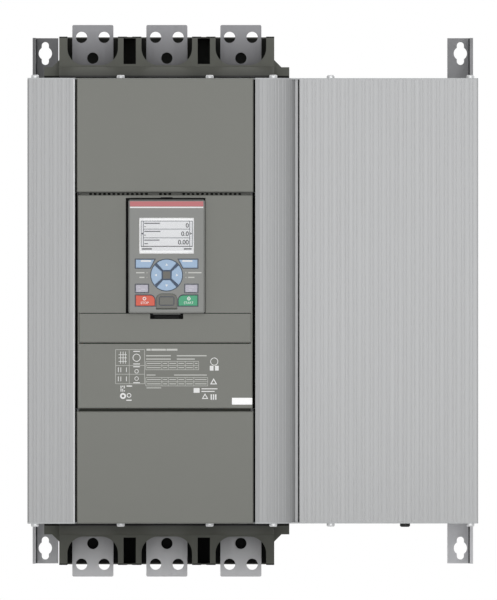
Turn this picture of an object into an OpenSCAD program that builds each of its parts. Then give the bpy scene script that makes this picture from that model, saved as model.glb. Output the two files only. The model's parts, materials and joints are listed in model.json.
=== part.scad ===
// Soft starter with a built-in bypass, in millimetres.
// X runs right, Y runs into the wall, Z runs up. The wall is the plane y = 0, so a depth d lies at y = -d.

/* [Enclosure] */
// Overall width across the side panels
overall_w = 435; // [425:1:460]
// Height of the enclosure without its terminals
cover_h = 430; // [424:1:450]
// Depth from the wall to the front of the profiles
profile_depth = 375; // [370:1:390]
// Width of the starter section, up to the seam beside the bypass box
main_w = 261.1; // [258:0.1:270]
// How far the bypass box sits behind the profiles
box_setback = 21; // [16:0.5:25]
// Outer radius of the curved right profile
curve_r = 46; // [42:0.5:50]
// Wall thickness of the aluminium profiles
wall_t = 2; // [1.6:0.1:2.4]
// Thickness of the side panels
panel_t = 1.8; // [1.2:0.1:2.2]
// Thickness of the end plates
plate_t = 1.2; // [1:0.1:2]
// Width of the seam between the starter and the bypass box
seam_gap = 1.3; // [1:0.1:1.6]
// Width of the left front profile
left_front_w = 45.8; // [42:0.1:48]
// Pitch of the fine ribs along the profiles
rib_pitch = 8; // [6:0.5:10]
// Depth of the grooves between the ribs
rib_depth = 0.2; // [0.1:0.05:0.6]

/* [Mounting plate] */
// Height of the ears above and below the end plates
ear_h = 42.5; // [38:0.5:50]
// Width of each ear
ear_w = 25; // [24:0.5:28]
// Thickness of the sheet
base_t = 3; // [2.5:0.5:4]
// Depth of the side flanges
flange_depth = 30; // [20:1:40]
// Distance from the outer edge of an ear to the middle of its keyhole
hole_inset = 12.2; // [11:0.1:13]
// Height of the keyholes above and below the end plates
hole_up = 27.5; // [24:0.5:30]
// Width of a keyhole slot
keyhole_slot = 7; // [6:0.5:8]
// Length of a keyhole slot
keyhole_len = 22.4; // [20:0.2:24]
// Diameter of the middle of a keyhole
keyhole_head = 13; // [11:0.5:14]

/* [Terminals] */
// Distance of the middle pole from the middle of the starter section
pole_shift = 3.15; // [2:0.05:4]
// Pitch of the poles
pole_pitch = 72.1; // [70:0.1:74]
// Width of a busbar
bar_w = 40; // [36:0.5:42]
// Thickness of a busbar
bar_t = 10; // [8:0.5:12]
// How far the busbar tips stand beyond the end plates
bar_proud = 53.7; // [47:0.1:60]
// Depth from the wall to the back of the busbars
bar_depth = 140; // [136:1:144]
// Diameter of the busbar holes
bolt_d = 11; // [9:0.5:13]
// Distance between the two outer holes
bolt_pitch = 22; // [20:0.5:24]
// Distance from the tip to the outer holes
bolt_edge = 12; // [10:0.5:14]
// Distance from the tip to the inner hole
inner_bolt = 32.3; // [31:0.1:33]

/* [Shrouds] */
// Width of a shroud block
shroud_w = 209.2; // [208:0.2:212]
// Height of a shroud above the end plate
shroud_h = 42; // [40:0.5:46]
// Width over the shoulders
shoulder_w = 238.5; // [236:0.5:244]
// Height of the sloped shoulder
shoulder_h = 13; // [11:0.5:14]
// Depth from the wall to the back of a shroud
shroud_back = 120; // [114:1:124]
// Depth from the wall to the face of a shroud
shroud_face = 185; // [180:1:195]
// How far the shoulder slopes forward
slope_run = 21; // [16:1:26]
// Width of a terminal pocket
pocket_w = 49.3; // [46:0.1:52]
// Radius of the lower corners of a pocket
pocket_r = 16.5; // [14:0.5:18]
// Height of the pocket floor above the end plate
pocket_floor = 14.3; // [13:0.1:15.5]
// Width of a barrier slot
barrier_w = 12; // [10:0.5:14]

/* [Front covers] */
// How far the covers sit behind the profiles
cover_drop = 2; // [1:0.5:3]
// Gap between the covers and the profiles
cover_gap = 1.8; // [1.2:0.1:2.2]
// Thickness of the cover fronts
cover_wall = 2.5; // [2:0.1:3]
// Thickness of the cover sides
cover_side = 1.5; // [1.2:0.1:1.8]
// Upper edge of the middle cover
upper_split = 102; // [100:0.2:106]
// Lower edge of the middle cover
lower_split = -103.8; // [-110:0.2:-98]
// Gap between two covers
split_gap = 2.8; // [2.4:0.1:3.4]
// Width of one vent hole
vent_w = 2.6; // [2:0.1:3]
// Pitch of the vent holes
vent_pitch = 4.5; // [4.2:0.1:4.7]
// Height of the terminal door with its gaps
door_h = 29.8; // [26:0.2:32]
// Width of the finger notch in the door
notch_w = 32; // [29:1:36]

/* [Keypad] */
// Distance of the keypad from the middle of the starter section
keypad_shift = 3.75; // [1:0.05:6]
// Lower edge of the keypad
keypad_z = -12; // [-13:0.1:-11.9]
// Width of the keypad
keypad_w = 73.6; // [72:0.2:75]
// Height of the keypad
keypad_h = 109.8; // [108:0.1:110.5]
// How far the keypad stands in front of the profiles
keypad_proud = 5; // [3:0.5:8]
// How far the keys stand in front of the keypad
key_proud = 1; // [0.9:0.1:1.4]
// Travel of a key
key_travel = 0.8; // [0.5:0.1:0.8]
// Outer radius of the four arrow keys
arrow_r = 14.9; // [14:0.1:15.2]

/* [Power stage] */
// Width of a heat sink
sink_w = 64; // [60:0.5:66]
// Gap between the fans and the heat sinks
sink_gap = 15.8; // [10:0.1:17]
// How far the heat sinks reach above the upper thyristors
sink_over = 35; // [20:1:40]
// Depth of a heat sink
sink_depth = 110; // [108:1:114]
// Thickness of a fin
fin_t = 2.4; // [2:0.1:3]
// Diameter of a disc thyristor
puck_d = 60; // [54:1:62]
// Gap beside and between the fans
fan_gap = 6.1; // [4:0.1:8]
// Thickness of a fan
fan_t = 38; // [34:1:40]

/* [Bypass contactor] */
// Height of the crossbar above the bottom end plate
bypass_up = 140; // [137:0.5:143]
// Gap of the open contacts
contact_gap = 8; // [6:0.5:9]
// Diameter of the guide rods
rod_d = 8; // [6:0.5:9]

/* [Hidden] */
$fn = 48;
fit = 0.3;          // clearance between pieces that are slid together
run_fit = 0.1;      // clearance around a pin or rod that turns or slides
side_x = overall_w / 2;
half_h = cover_h / 2;
plate_z = half_h - plate_t;             // inner face of an end plate
seam_x = main_w - side_x;               // right face of the right profile
box_x = seam_x + seam_gap;              // left face of the box profile
main_cx = (seam_x - side_x) / 2;        // middle of the starter section
keypad_x = main_cx + keypad_shift;
box_front = profile_depth - box_setback;
return_d = 30;                          // depth of the profile returns
edge = 1.2;                             // broken edges of the profiles
rib_w = 0.5;                            // half width of a groove
rib_pair = 3;                           // distance between the two grooves of a pair
flange_x = side_x - panel_t;            // outer face of the mounting plate's flanges
mount_h = cover_h + 2 * ear_h;          // height over the ears
hole_x = flange_x - hole_inset;
hole_z = half_h + hole_up;
lip_x = left_front_w - side_x;          // right face of the left profile
lip_w = 2.7;                            // flat strip beside the seam
curve_span = sqrt(pow(curve_r, 2) - pow(curve_r - box_setback, 2));
curve_end = acos(1 - box_setback / curve_r);
curve_x = seam_x - lip_w - curve_span;  // left face of the curved profile
curve_d = profile_depth - curve_r;      // depth of the curve's centre
cover_front = profile_depth - cover_drop;
cover_inner = cover_front - cover_wall;
ledge_d = cover_front - 13;             // depth of the ledges that carry the covers
ledge_w = cover_gap + 4;
cover_x0 = lip_x + cover_gap;
cover_x1 = curve_x - cover_gap;
cover_cx = (cover_x0 + cover_x1) / 2;
cover_inset = 0.8;                      // the middle cover is this much narrower on each side
mid_x0 = cover_x0 + cover_inset;
mid_x1 = cover_x1 - cover_inset;
strip_d = cover_front - 9;              // face of the recessed strips between covers
bevel = 0.8;                            // broken edges of the covers

// screws and the ports and bosses that take them
screw_d = 3.4;
screw_bore = screw_d + 2 * run_fit;
screw_head = 7.7;
screw_head_h = 3;
screw_len = 10;
port_d = 8;
port_in = wall_t + port_d / 2 - 0.5;    // from a profile's front face to its port
left_port_x = -side_x + 7.2;
curve_port_r = curve_r - port_in;
curve_port_x = curve_x + 17.3;
curve_port_d = curve_d + sqrt(pow(curve_port_r, 2) - pow(curve_port_x - curve_x, 2));
box_port_in = [30.2, 7.5];              // from the sides of the box profile to its ports
box_port_xs = [box_x + box_port_in[0], side_x - box_port_in[1]];
port_spots = [[left_port_x, profile_depth - port_in], [curve_port_x, curve_port_d]];
box_port_spots = [for (x = box_port_xs) [x, box_front - port_in]];
boss_d = ledge_d - 10;
boss_spots = [for (s = [-1, 1]) [cover_cx + s * 42.9, boss_d]];
tab_w = 20;
tab_x = flange_x - 28.3;
tab_spot = [tab_x, base_t + 15];
plug_d = 7.6;
plug_in = 40.2;
plug_back = 54;
plug_spot = [tab_x - plug_in, box_front - plug_back];

// terminals
pole_x = main_cx + pole_shift;
poles = [for (i = [-1, 0, 1]) pole_x + i * pole_pitch];
bar_tip = half_h + bar_proud;
bar_front = bar_depth + bar_t;
sink_front = base_t + sink_depth;
puck_t = bar_depth - sink_front;
bar_fit = 0.5;                          // clearance of a busbar in the pieces it passes
bypass_z = bypass_up - half_h;
contact_reach = 45;                     // from the crossbar to each contact
contact_over = 15;                      // how far a bridge and a busbar reach past the contact
bar_end = contact_reach - contact_over; // from the crossbar to the inner end of a busbar
puck_down = 98.8;                       // from the top end plate to the upper thyristors
puck_pitch = 80;
puck_zs = [plate_z - puck_down, plate_z - puck_down - puck_pitch];
foot_h = 30;                            // foot that joins a load bar to its heat sink
foot_up = 3;
transformer_gap = 1.8;                  // from the fans to the transformers
transformer_h = 24;
corner_r = 1.5;                         // corners of the busbar tips

// keypad
kp_front = profile_depth + keypad_proud;
kp_wall = 2;
kp_split = kp_front - 14;               // joint between the bezel and the back shell
holder_floor = ledge_d - 10;
holder_t = 1.5;
holder_wall = 1;
kp_back = holder_floor + holder_t + fit;
kp_bevel = 1.4;                         // sloping front edges of the keypad
kp_left = keypad_x - keypad_w / 2;
kp_right = keypad_x + keypad_w / 2;
pocket_x0 = kp_left - 2.6;
pocket_x1 = kp_right + 0.6;
kp_pocket_z0 = keypad_z - fit;
kp_pocket_z1 = keypad_z + keypad_h + 1.4;
board_d = kp_front - 10;                // back of the keypad board
board_t = 1.6;
inner_wall_d = kp_front - kp_wall;      // back of the bezel's front wall
key_flange = inner_wall_d - fit;
key_flange_t = 1.2;
key_grow = 0.7;
key_fit = 0.35;
switch_top = key_flange - key_flange_t - key_travel - fit;

// terminal door
door_gap = 0.7;
door_z1 = keypad_z + 0.3;               // upper edge of the opening
door_z0 = door_z1 - door_h;             // lower edge of the opening
barrel_r = 2;
door_axis_z = door_z0 + door_gap + barrel_r;
door_axis_d = cover_front - barrel_r;
door_x0 = mid_x0 + cover_side + fit;
door_x1 = mid_x1 - cover_side - fit;
pin_d = 2.4;
notch_h = 5.2;

// display, header and service port, in the keypad's own frame: u from its middle, v from its foot
window_u = 26.25;
window_v = [57.6, 91.9];
window_t = 1.8;
header_v = [103, 107.9];
header_t = 0.5;
header_u = keypad_w / 2 - kp_bevel;
arrow_v = 36.8;
ring_r = arrow_r + 0.8;
arrow_in = 4.9;                         // from the middle of the ring to an arrow key
arrow_foot = 6.8;                       // width of an arrow key at its foot
arrow_flare = 0.88;                     // how fast an arrow key widens
centre_w = 8.3;
key_u = 29.6;
soft_v = [44, 51.6];
soft_top_w = 17.6;
soft_foot_w = 13.6;
small_v = [20.4, 27.4];
small_w = 11.6;
big_v = [7.4, 17.1];
big_w = 18;
big_r = 4.6;                            // the round corner of a large key
key_r = 0.8;
port_u = 9.9;
port_v = [4.2, 18.6];
port_r = 5;
flap_r = 1.2;
flap_axis_d = kp_front - 1;
flap_axis_v = port_v[0] + flap_r;
flap_pin = 1.2;

// bypass contactor
button_h = 4;
button_d = 18;
bridge_t = 8;
bridge_d = bar_front + contact_gap + button_h;
crossbar_d = bridge_d + bridge_t;
crossbar_t = 18;
crossbar_h = 40;
bypass_travel = contact_gap - fit;
rod_in = 20.7;                          // from the right flange to its guide rod
rod_xs = [(base_t - flange_x + poles[0] - sink_w / 2) / 2, flange_x - rod_in];
rod_head = 14;                          // diameter of the stop on a rod
core_x = (box_x + rod_xs[1] - rod_head / 2) / 2;
core_w = 90;
core_h = 60;
leg_w = 15;
mid_leg_w = 25;
yoke_t = 30;
core_front = bar_front;
armature_t = crossbar_d - core_front - contact_gap;

// control board, behind the keypad and the terminal door
control_d = holder_floor - 9;           // back of the control board
post_in = 10.4;                         // from the side of the middle cover to a post
post_x = (mid_x1 - mid_x0) / 2 - post_in;
post_top = 18;
post_foot = 14;
post_zs = [upper_split - post_top, lower_split + post_foot];
strip_up = 3.2;                         // terminal strip, from the foot of the door's opening
strip_h = 16.8;
strip_z = [door_z0 + strip_up, door_z0 + strip_up + strip_h];

// fans
fan_bay_x = base_t - flange_x;          // left end of the room for the fans
fan_w = (seam_x - fan_bay_x - 3 * fan_gap) / 2;
fan_xs = [for (i = [0, 1]) fan_bay_x + fan_gap + fan_w / 2 + i * (fan_w + fan_gap)];
fan_rim = 3;                            // wall around the fan's throat
fan_d = base_t + 1 + fan_w / 2;
fan_bore = fan_w - 2 * fan_rim;
fan_z = -plate_z;
sink_z = [fan_z + fan_t + sink_gap, puck_zs[0] + puck_d / 2 + sink_over];
hub_d = 42;
spoke_t = 6;
shaft_d = 5;
blade_n = 7;

// Helpers

// A box between two x values, two depths and two heights
module block(x, d, z) {
  translate([x[0], -d[1], z[0]])
    cube([x[1] - x[0], d[1] - d[0], z[1] - z[0]]);
}

// An outline drawn in x and z, pushed from depth d0 out to depth d1
module outward(d0, d1) {
  translate([0, -d0, 0])
    rotate([90, 0, 0])
      linear_extrude(d1 - d0)
        children();
}

// An outline drawn in x and y, raised from z0 to z1
module upward(z0, z1) {
  translate([0, 0, z0])
    linear_extrude(z1 - z0)
      children();
}

// An outline drawn in y and z, drawn out from x0 to x1
module sideways(x0, x1) {
  translate([x0, 0, 0])
    rotate([90, 0, 90])
      linear_extrude(x1 - x0)
        children();
}

// A rectangle between two x values and two y values
module rect(x, y) {
  translate([x[0], y[0]])
    square([x[1] - x[0], y[1] - y[0]]);
}

// A cylinder along Y between two depths
module peg(x, z, d0, d1, dia) {
  translate([x, -d0, z])
    rotate([90, 0, 0])
      cylinder(h = d1 - d0, d = dia);
}

// A copy turned upside down
module flipped() {
  mirror([0, 0, 1])
    children();
}

// Points of a ribbed face from a to b, the grooves cut on the left of the way from a to b
function ribbed(a, b) =
  let (run = norm(b - a), u = (b - a) / run, n = [-u[1], u[0]])
  let (count = floor(run / rib_pitch) - 1, first = (run - count * rib_pitch - rib_pair) / 2)
  [for (i = [0 : count], off = [0, rib_pair], k = [-1, 0, 1])
    a + u * (first + i * rib_pitch + off + k * rib_w) + n * (k == 0 ? rib_depth : 0)];

// A point on the curved profile at radius r and angle t from straight ahead
function on_curve(r, t) = [curve_x + r * sin(t), -curve_d - r * cos(t)];

// Points of the ribbed curve, with smooth steps between the grooves
rib_turn = rib_pitch / curve_r * 180 / PI;
rib_half = rib_w / curve_r * 180 / PI;
rib_second = rib_pair / curve_r * 180 / PI;
curve_first = 5;
curve_ribs = floor((curve_end - curve_first - rib_second) / rib_turn);
curve_points = [for (i = [0 : curve_ribs]) let (t = curve_first + i * rib_turn)
  for (p = [
    [t - rib_half, 0], [t, rib_depth], [t + rib_half, 0],
    [t + rib_second - rib_half, 0], [t + rib_second, rib_depth], [t + rib_second + rib_half, 0],
    [t + rib_second + (rib_turn - rib_second) * 0.35, 0],
    [t + rib_second + (rib_turn - rib_second) * 0.65, 0]])
    if (p[0] < curve_end) on_curve(curve_r - p[1], p[0])];

// Holes for screws through an end plate
module screw_holes(spots, dia) {
  for (s = spots)
    translate([s[0], -s[1]])
      circle(d = dia);
}

// Sheet metal and profiles

module keyhole() {
  slot_end = (keyhole_len - keyhole_slot) / 2;
  circle(d = keyhole_head);
  square([keyhole_slot, 2 * slot_end], center = true);
  for (s = [-1, 1])
    translate([0, s * slot_end])
      circle(d = keyhole_slot);
}

module mounting_plate() {
  bend_r = 4;
  color("silver")
    difference() {
      union() {
        upward(-mount_h / 2, mount_h / 2)
          difference() {
            union() {
              rect([-flange_x, flange_x], [-base_t, 0]);
              rect([-flange_x, base_t - flange_x], [-flange_depth, 0]);
              rect([flange_x - base_t, flange_x], [-flange_depth, 0]);
            }
            for (s = [-1, 1])
              mirror([s < 0 ? 1 : 0, 0])
                difference() {
                  rect([flange_x - bend_r, flange_x + 1], [-bend_r, 1]);
                  translate([flange_x - bend_r, -bend_r])
                    circle(r = bend_r);
                }
          }
        for (s = [[tab_x, 1], [-tab_x, 1], [tab_x, -1]])
          mirror([0, 0, s[1] < 0 ? 1 : 0])
            block([s[0] - tab_w / 2, s[0] + tab_w / 2], [0, flange_depth],
                  [plate_z - base_t, plate_z]);
      }
      for (s = [-1, 1]) {
        mirror([0, 0, s < 0 ? 1 : 0])
          block([ear_w - flange_x, flange_x - ear_w], [-1, flange_depth + 1],
                [half_h, mount_h]);
        for (x = [-1, 1])
          translate([x * hole_x, 0, s * hole_z])
            outward(-1, base_t + 1)
              keyhole();
      }
      for (s = [tab_spot, [-tab_spot[0], tab_spot[1]]])
        upward(0, half_h)
          screw_holes([s], screw_bore);
      upward(-half_h, 0)
        screw_holes([tab_spot], screw_bore);
    }
}

// A port for an end-plate screw: rings joined to the profile drawn as a child
module ported(spots) {
  difference() {
    union() {
      children();
      screw_holes(spots, port_d);
    }
    screw_holes(spots, screw_bore);
  }
}

module left_profile() {
  back = profile_depth - return_d;
  inner = profile_depth - wall_t;
  color("gainsboro")
    upward(-plate_z, plate_z)
      ported([port_spots[0]])
        polygon(concat(
          [[-side_x, -back]],
          ribbed([-side_x, -back], [-side_x, -profile_depth]),
          [[-side_x, -profile_depth]],
          ribbed([-side_x, -profile_depth], [lip_x, -profile_depth]),
          [[lip_x - edge, -profile_depth], [lip_x, edge - profile_depth], [lip_x, -ledge_d],
           [lip_x + ledge_w, -ledge_d], [lip_x + ledge_w, wall_t - ledge_d],
           [lip_x - wall_t, wall_t - ledge_d], [lip_x - wall_t, -inner],
           [wall_t - side_x, -inner], [wall_t - side_x, -back]]));
}

module right_profile() {
  inner_r = curve_r - wall_t;
  inner_start = asin(wall_t / inner_r);
  inner_steps = 14;
  color("gainsboro")
    upward(-plate_z, plate_z)
      ported([port_spots[1]])
        polygon(concat(
          [[curve_x - ledge_w, wall_t - ledge_d], [curve_x - ledge_w, -ledge_d],
           [curve_x, -ledge_d], [curve_x, edge - profile_depth]],
          curve_points,
          [on_curve(curve_r, curve_end), [seam_x, -box_front], [seam_x, return_d - box_front],
           [seam_x - wall_t, return_d - box_front], [seam_x - wall_t, wall_t - box_front]],
          [for (i = [0 : inner_steps])
            on_curve(inner_r, curve_end + (inner_start - curve_end) * i / inner_steps)],
          [[curve_x + wall_t, wall_t - ledge_d]]));
}

module box_profile() {
  back = box_front - return_d;
  inner = box_front - wall_t;
  color("gainsboro")
    upward(-plate_z, plate_z)
      ported(box_port_spots)
        polygon(concat(
          [[box_x, -back], [box_x, -box_front]],
          ribbed([box_x, -box_front], [side_x - edge, -box_front]),
          [[side_x - edge, -box_front], [side_x, edge - box_front]],
          ribbed([side_x, edge - box_front], [side_x, -back]),
          [[side_x, -back], [side_x - wall_t, -back], [side_x - wall_t, -inner],
           [box_x + wall_t, -inner], [box_x + wall_t, -back]]));
}

module side_panel(front) {
  block([flange_x, side_x], [1, front], [-plate_z, plate_z]);
}

module left_side_panel() {
  color("lightgrey")
    mirror([1, 0, 0])
      side_panel(profile_depth - return_d);
}

module right_side_panel() {
  color("lightgrey")
    side_panel(box_front - return_d);
}

// Room in an end plate for the ear on one side
module ear_notch(side) {
  mirror([side < 0 ? 1 : 0, 0])
    rect([flange_x - base_t - fit, side_x + 1], [-flange_depth - fit, 1]);
}

module box_end() {
  edge_x = seam_x + 0.4;
  difference() {
    union() {
      rect([edge_x, side_x], [edge - box_front, -base_t - fit]);
      rect([edge_x, side_x - edge], [-box_front, -base_t - fit]);
    }
    ear_notch(1);
    screw_holes(concat(box_port_spots, [tab_spot]), screw_d + 1);
  }
}

module box_frame() {
  window_z = [bypass_z - crossbar_h / 2 - fit, bypass_z + crossbar_h / 2 + fit];
  window_d = [crossbar_d - contact_gap - fit, crossbar_d + crossbar_t + fit];
  color("lightgrey")
    difference() {
      union() {
        block([seam_x, box_x], [base_t, box_front - wall_t], [-plate_z - 0.4, plate_z + 0.4]);
        upward(plate_z, half_h)
          box_end();
        upward(-half_h, -plate_z)
          difference() {
            box_end();
            screw_holes([plug_spot], plug_d + 0.4);
          }
      }
      block([seam_x - 1, box_x + 1], window_d, window_z);
    }
}

module main_end() {
  difference() {
    union() {
      rect([-side_x, seam_x], [fit - ledge_d, -base_t - fit]);
      rect([-side_x, lip_x], [-profile_depth, -base_t - fit]);
      rect([curve_x, seam_x], [-box_front, -base_t - fit]);
      intersection() {
        translate([curve_x, -curve_d])
          circle(r = curve_r);
        rect([curve_x, curve_x + curve_span], [-profile_depth - 1, -curve_d]);
      }
    }
    ear_notch(-1);
    for (x = poles)
      rect([x - bar_w / 2 - 6, x + bar_w / 2 + 6], [-bar_front - 6, 6 - bar_depth]);
    screw_holes(concat(port_spots, boss_spots), screw_d + 1);
  }
}

module top_plate() {
  slot_w = 5;
  slot_pitch = 11;
  slot_l = 38;
  slot_rows = [20, 66];
  color("lightgrey")
    upward(plate_z, half_h)
      difference() {
        main_end();
        screw_holes([[-tab_spot[0], tab_spot[1]]], screw_d + 1);
        for (i = [-9 : 9], d = slot_rows)
          translate([pole_x + i * slot_pitch - slot_w / 2, -d - slot_l])
            square([slot_w, slot_l]);
      }
}

module bottom_plate() {
  slot_w = 6;
  slot_pitch = 10;
  color("lightgrey")
    upward(-half_h, -plate_z)
      difference() {
        main_end();
        for (x = fan_xs)
          intersection() {
            translate([x, -fan_d])
              circle(d = fan_bore - 6);
            for (i = [-5 : 5])
              translate([x + i * slot_pitch - slot_w / 2, -fan_d - fan_w / 2])
                square([slot_w, fan_w]);
          }
      }
}

// One pan-head screw with a cross recess, its head resting on the plane z = 0
module pan_screw() {
  difference() {
    rotate_extrude()
      polygon([[0, -screw_len], [screw_d / 2, -screw_len], [screw_d / 2, 0], [screw_head / 2, 0],
               [screw_head / 2, screw_head_h * 0.6], [screw_head * 0.46, screw_head_h * 0.85],
               [screw_head * 0.38, screw_head_h], [0, screw_head_h]]);
    for (a = [0, 90])
      rotate([0, 0, a])
        translate([0, 0, screw_head_h])
          cube([screw_head * 0.55, 1, 2.4], center = true);
  }
}

module screw_row(spots) {
  color("whitesmoke")
    for (s = spots)
      translate([s[0], -s[1], half_h])
        pan_screw();
}

module top_screws() {
  screw_row(concat(port_spots, box_port_spots, boss_spots,
                   [tab_spot, [-tab_spot[0], tab_spot[1]]]));
}

module bottom_screws() {
  flipped()
    screw_row(concat(port_spots, box_port_spots, boss_spots, [tab_spot]));
}

module cable_plug() {
  head_h = 3.8;
  color("black")
    translate([plug_spot[0], -plug_spot[1], 0])
      rotate_extrude()
        polygon([[0, -plate_z + 5], [plug_d / 2, -plate_z + 5], [plug_d / 2, -half_h],
                 [plug_d / 2 + 1.1, -half_h], [plug_d / 2 + 1.1, -half_h - head_h + 1],
                 [plug_d / 2, -half_h - head_h], [0, -half_h - head_h]]);
}

// Terminal shrouds and busbars

// The U-shaped opening for one terminal, drawn in x and z about its middle
module pocket_shape() {
  round_x = pocket_w / 2 - pocket_r;
  floor_z = half_h + pocket_floor;
  rect([-pocket_w / 2, pocket_w / 2], [floor_z + pocket_r, half_h + shroud_h + 1]);
  rect([-round_x, round_x], [floor_z, half_h + shroud_h + 1]);
  for (s = [-1, 1])
    translate([s * round_x, floor_z + pocket_r])
      circle(r = pocket_r);
}

module shroud() {
  wing_h = shoulder_h - 0.7;
  gusset = 7;
  toe = 4;
  back_wall = 6;
  lip_gap = 2.4;
  barrier_top = 1.6;
  w = shroud_w / 2;
  sw = shoulder_w / 2;
  face_z = half_h + shoulder_h;
  color("dimgrey")
    translate([pole_x, 0, 0])
      difference() {
        union() {
          outward(shroud_back, shroud_face - gusset)
            polygon([[-sw, half_h], [sw, half_h], [sw, half_h + wing_h],
                     [w + gusset, half_h + wing_h], [w, half_h + wing_h + gusset],
                     [w, half_h + shroud_h], [-w, half_h + shroud_h],
                     [-w, half_h + wing_h + gusset], [-w - gusset, half_h + wing_h],
                     [-sw, half_h + wing_h]]);
          block([-w, w], [shroud_face - gusset, shroud_face], [half_h, half_h + shroud_h]);
          sideways(-w, w)
            polygon([[gusset - shroud_face, half_h], [gusset - shroud_face, face_z],
                     [-shroud_face, face_z], [-shroud_face - slope_run, half_h + lip_gap],
                     [-shroud_face - toe, half_h + lip_gap], [-shroud_face - toe, half_h]]);
        }
        for (x = poles) {
          translate([x - pole_x, 0, 0]) {
            outward(shroud_back + back_wall, shroud_face + 1)
              pocket_shape();
            block([-bar_w / 2 - bar_fit, bar_w / 2 + bar_fit],
                  [bar_depth - bar_fit, bar_front + bar_fit],
                  [half_h - 1, half_h + pocket_floor + pocket_r]);
          }
        }
        for (s = [-1, 1])
          translate([s * pole_pitch / 2, 0, 0]) {
            block([-barrier_w / 2, barrier_w / 2], [shroud_back + back_wall, shroud_face + 1],
                  [half_h + pocket_floor + 1, half_h + shroud_h - barrier_top]);
            block([-2.5, 2.5], [shroud_face - 30, shroud_face + 1],
                  [half_h + shroud_h - barrier_top - 1, half_h + shroud_h + 1]);
          }
      }
}

module line_shroud() {
  shroud();
}

module load_shroud() {
  flipped()
    shroud();
}

// One busbar, drawn tip up, from its inner end to its tip
module busbar(pole, inner) {
  w = bar_w / 2;
  color("silver")
    translate([poles[pole], 0, 0])
      outward(bar_depth, bar_front)
        difference() {
          union() {
            rect([-w, w], [inner, bar_tip - corner_r]);
            rect([corner_r - w, w - corner_r], [inner, bar_tip]);
            for (s = [-1, 1])
              translate([s * (w - corner_r), bar_tip - corner_r])
                circle(r = corner_r);
          }
          for (s = [-1, 1])
            translate([s * bolt_pitch / 2, bar_tip - bolt_edge])
              circle(d = bolt_d);
          translate([0, bar_tip - inner_bolt])
            circle(d = bolt_d);
        }
}

// A load bar, with the foot that joins it to the heat sink
module load_bar(pole) {
  foot_z = bar_end - bypass_z + foot_up;
  flipped()
    union() {
      busbar(pole, bar_end - bypass_z);
      color("silver")
        block([poles[pole] - bar_w / 2, poles[pole] + bar_w / 2], [sink_front, bar_depth + 1],
              [foot_z, foot_z + foot_h]);
    }
}

module line_busbar_1() {
  busbar(0, bypass_z + bar_end);
}

module line_busbar_2() {
  busbar(1, bypass_z + bar_end);
}

module line_busbar_3() {
  busbar(2, bypass_z + bar_end);
}

module load_busbar_1() {
  load_bar(0);
}

module load_busbar_2() {
  load_bar(1);
}

module load_busbar_3() {
  load_bar(2);
}

// Front covers

// The outside of a cover with broken front edges
module cover_solid(x, z) {
  intersection() {
    upward(z[0], z[1])
      polygon([[x[0], -ledge_d], [x[0], bevel - cover_front], [x[0] + bevel, -cover_front],
               [x[1] - bevel, -cover_front], [x[1], bevel - cover_front], [x[1], -ledge_d]]);
    sideways(x[0], x[1])
      polygon([[-ledge_d, z[0]], [-ledge_d, z[1]], [bevel - cover_front, z[1]],
               [-cover_front, z[1] - bevel], [-cover_front, z[0] + bevel],
               [bevel - cover_front, z[0]]]);
  }
}

// A cover: a shallow tray that opens to the back
module cover_shell(x, z) {
  difference() {
    cover_solid(x, z);
    block([x[0] + cover_side, x[1] - cover_side], [ledge_d - 1, cover_inner],
          [z[0] + cover_side, z[1] - cover_side]);
  }
}

// The cover above or below, with the bosses for two end-plate screws
module end_cover(z0, strip) {
  z1 = half_h - fit;
  boss_w = 12;
  boss_h = 11;
  difference() {
    union() {
      cover_shell([cover_x0, cover_x1], [z0, z1]);
      for (s = boss_spots)
        block([s[0] - boss_w / 2, s[0] + boss_w / 2], [boss_d - boss_w / 2, ledge_d + 2],
              [plate_z - boss_h, plate_z]);
      if (strip)
        block([mid_x0 + 2, mid_x1 - 2], [strip_d - cover_side, strip_d],
              [z0 - split_gap + fit, z0 + 1]);
    }
    upward(plate_z - boss_h - 1, plate_z + 1)
      screw_holes(boss_spots, screw_bore);
  }
}

module top_cover() {
  color("grey")
    end_cover(upper_split + split_gap, false);
}

module bottom_cover() {
  color("grey")
    flipped()
      end_cover(split_gap - lower_split, true);
}

module middle_cover() {
  post_d = 7;
  vent_sink = 0.3;
  vent_bridge = 0.5;
  vent_h = split_gap - fit - vent_bridge + vent_sink;
  vent_margin = 10;
  vent_n = floor(((mid_x1 - mid_x0) / 2 - vent_margin) / vent_pitch);
  vent_z = upper_split - vent_sink;
  clip_w = 11.5;
  color("grey")
    difference() {
      union() {
        cover_shell([mid_x0, mid_x1], [lower_split, upper_split]);
        block([mid_x0 + 2, mid_x1 - 2], [strip_d - cover_side, strip_d],
              [upper_split - 1, upper_split + split_gap - fit]);
        for (s = [-1, 1], z = post_zs)
          peg(cover_cx + s * post_x, z, control_d + board_t, cover_inner + 1, post_d);
      }
      block([pocket_x0, pocket_x1], [cover_inner - 1, cover_front + 1],
            [kp_pocket_z0, kp_pocket_z1]);
      block([keypad_x - clip_w / 2, keypad_x + clip_w / 2], [cover_inner - 1, cover_front + 1],
            [kp_pocket_z1 - 1, kp_pocket_z1 + 0.7]);
      block([mid_x0 + cover_side, mid_x1 - cover_side], [cover_inner - 1, cover_front + 1],
            [door_z0, door_z1]);
      translate([0, -door_axis_d, door_axis_z])
        rotate([0, 90, 0])
          translate([0, 0, mid_x0 - 1])
            cylinder(h = mid_x1 - mid_x0 + 2, d = pin_d + 2 * run_fit);
      for (i = [-vent_n : vent_n])
        if (abs(i) < 2 || abs(i) > 3)
          translate([cover_cx + i * vent_pitch, 0, vent_z])
            block([-vent_w / 2, vent_w / 2], [strip_d - cover_side - 1, strip_d + 1],
                  [0, vent_h]);
    }
}

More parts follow.
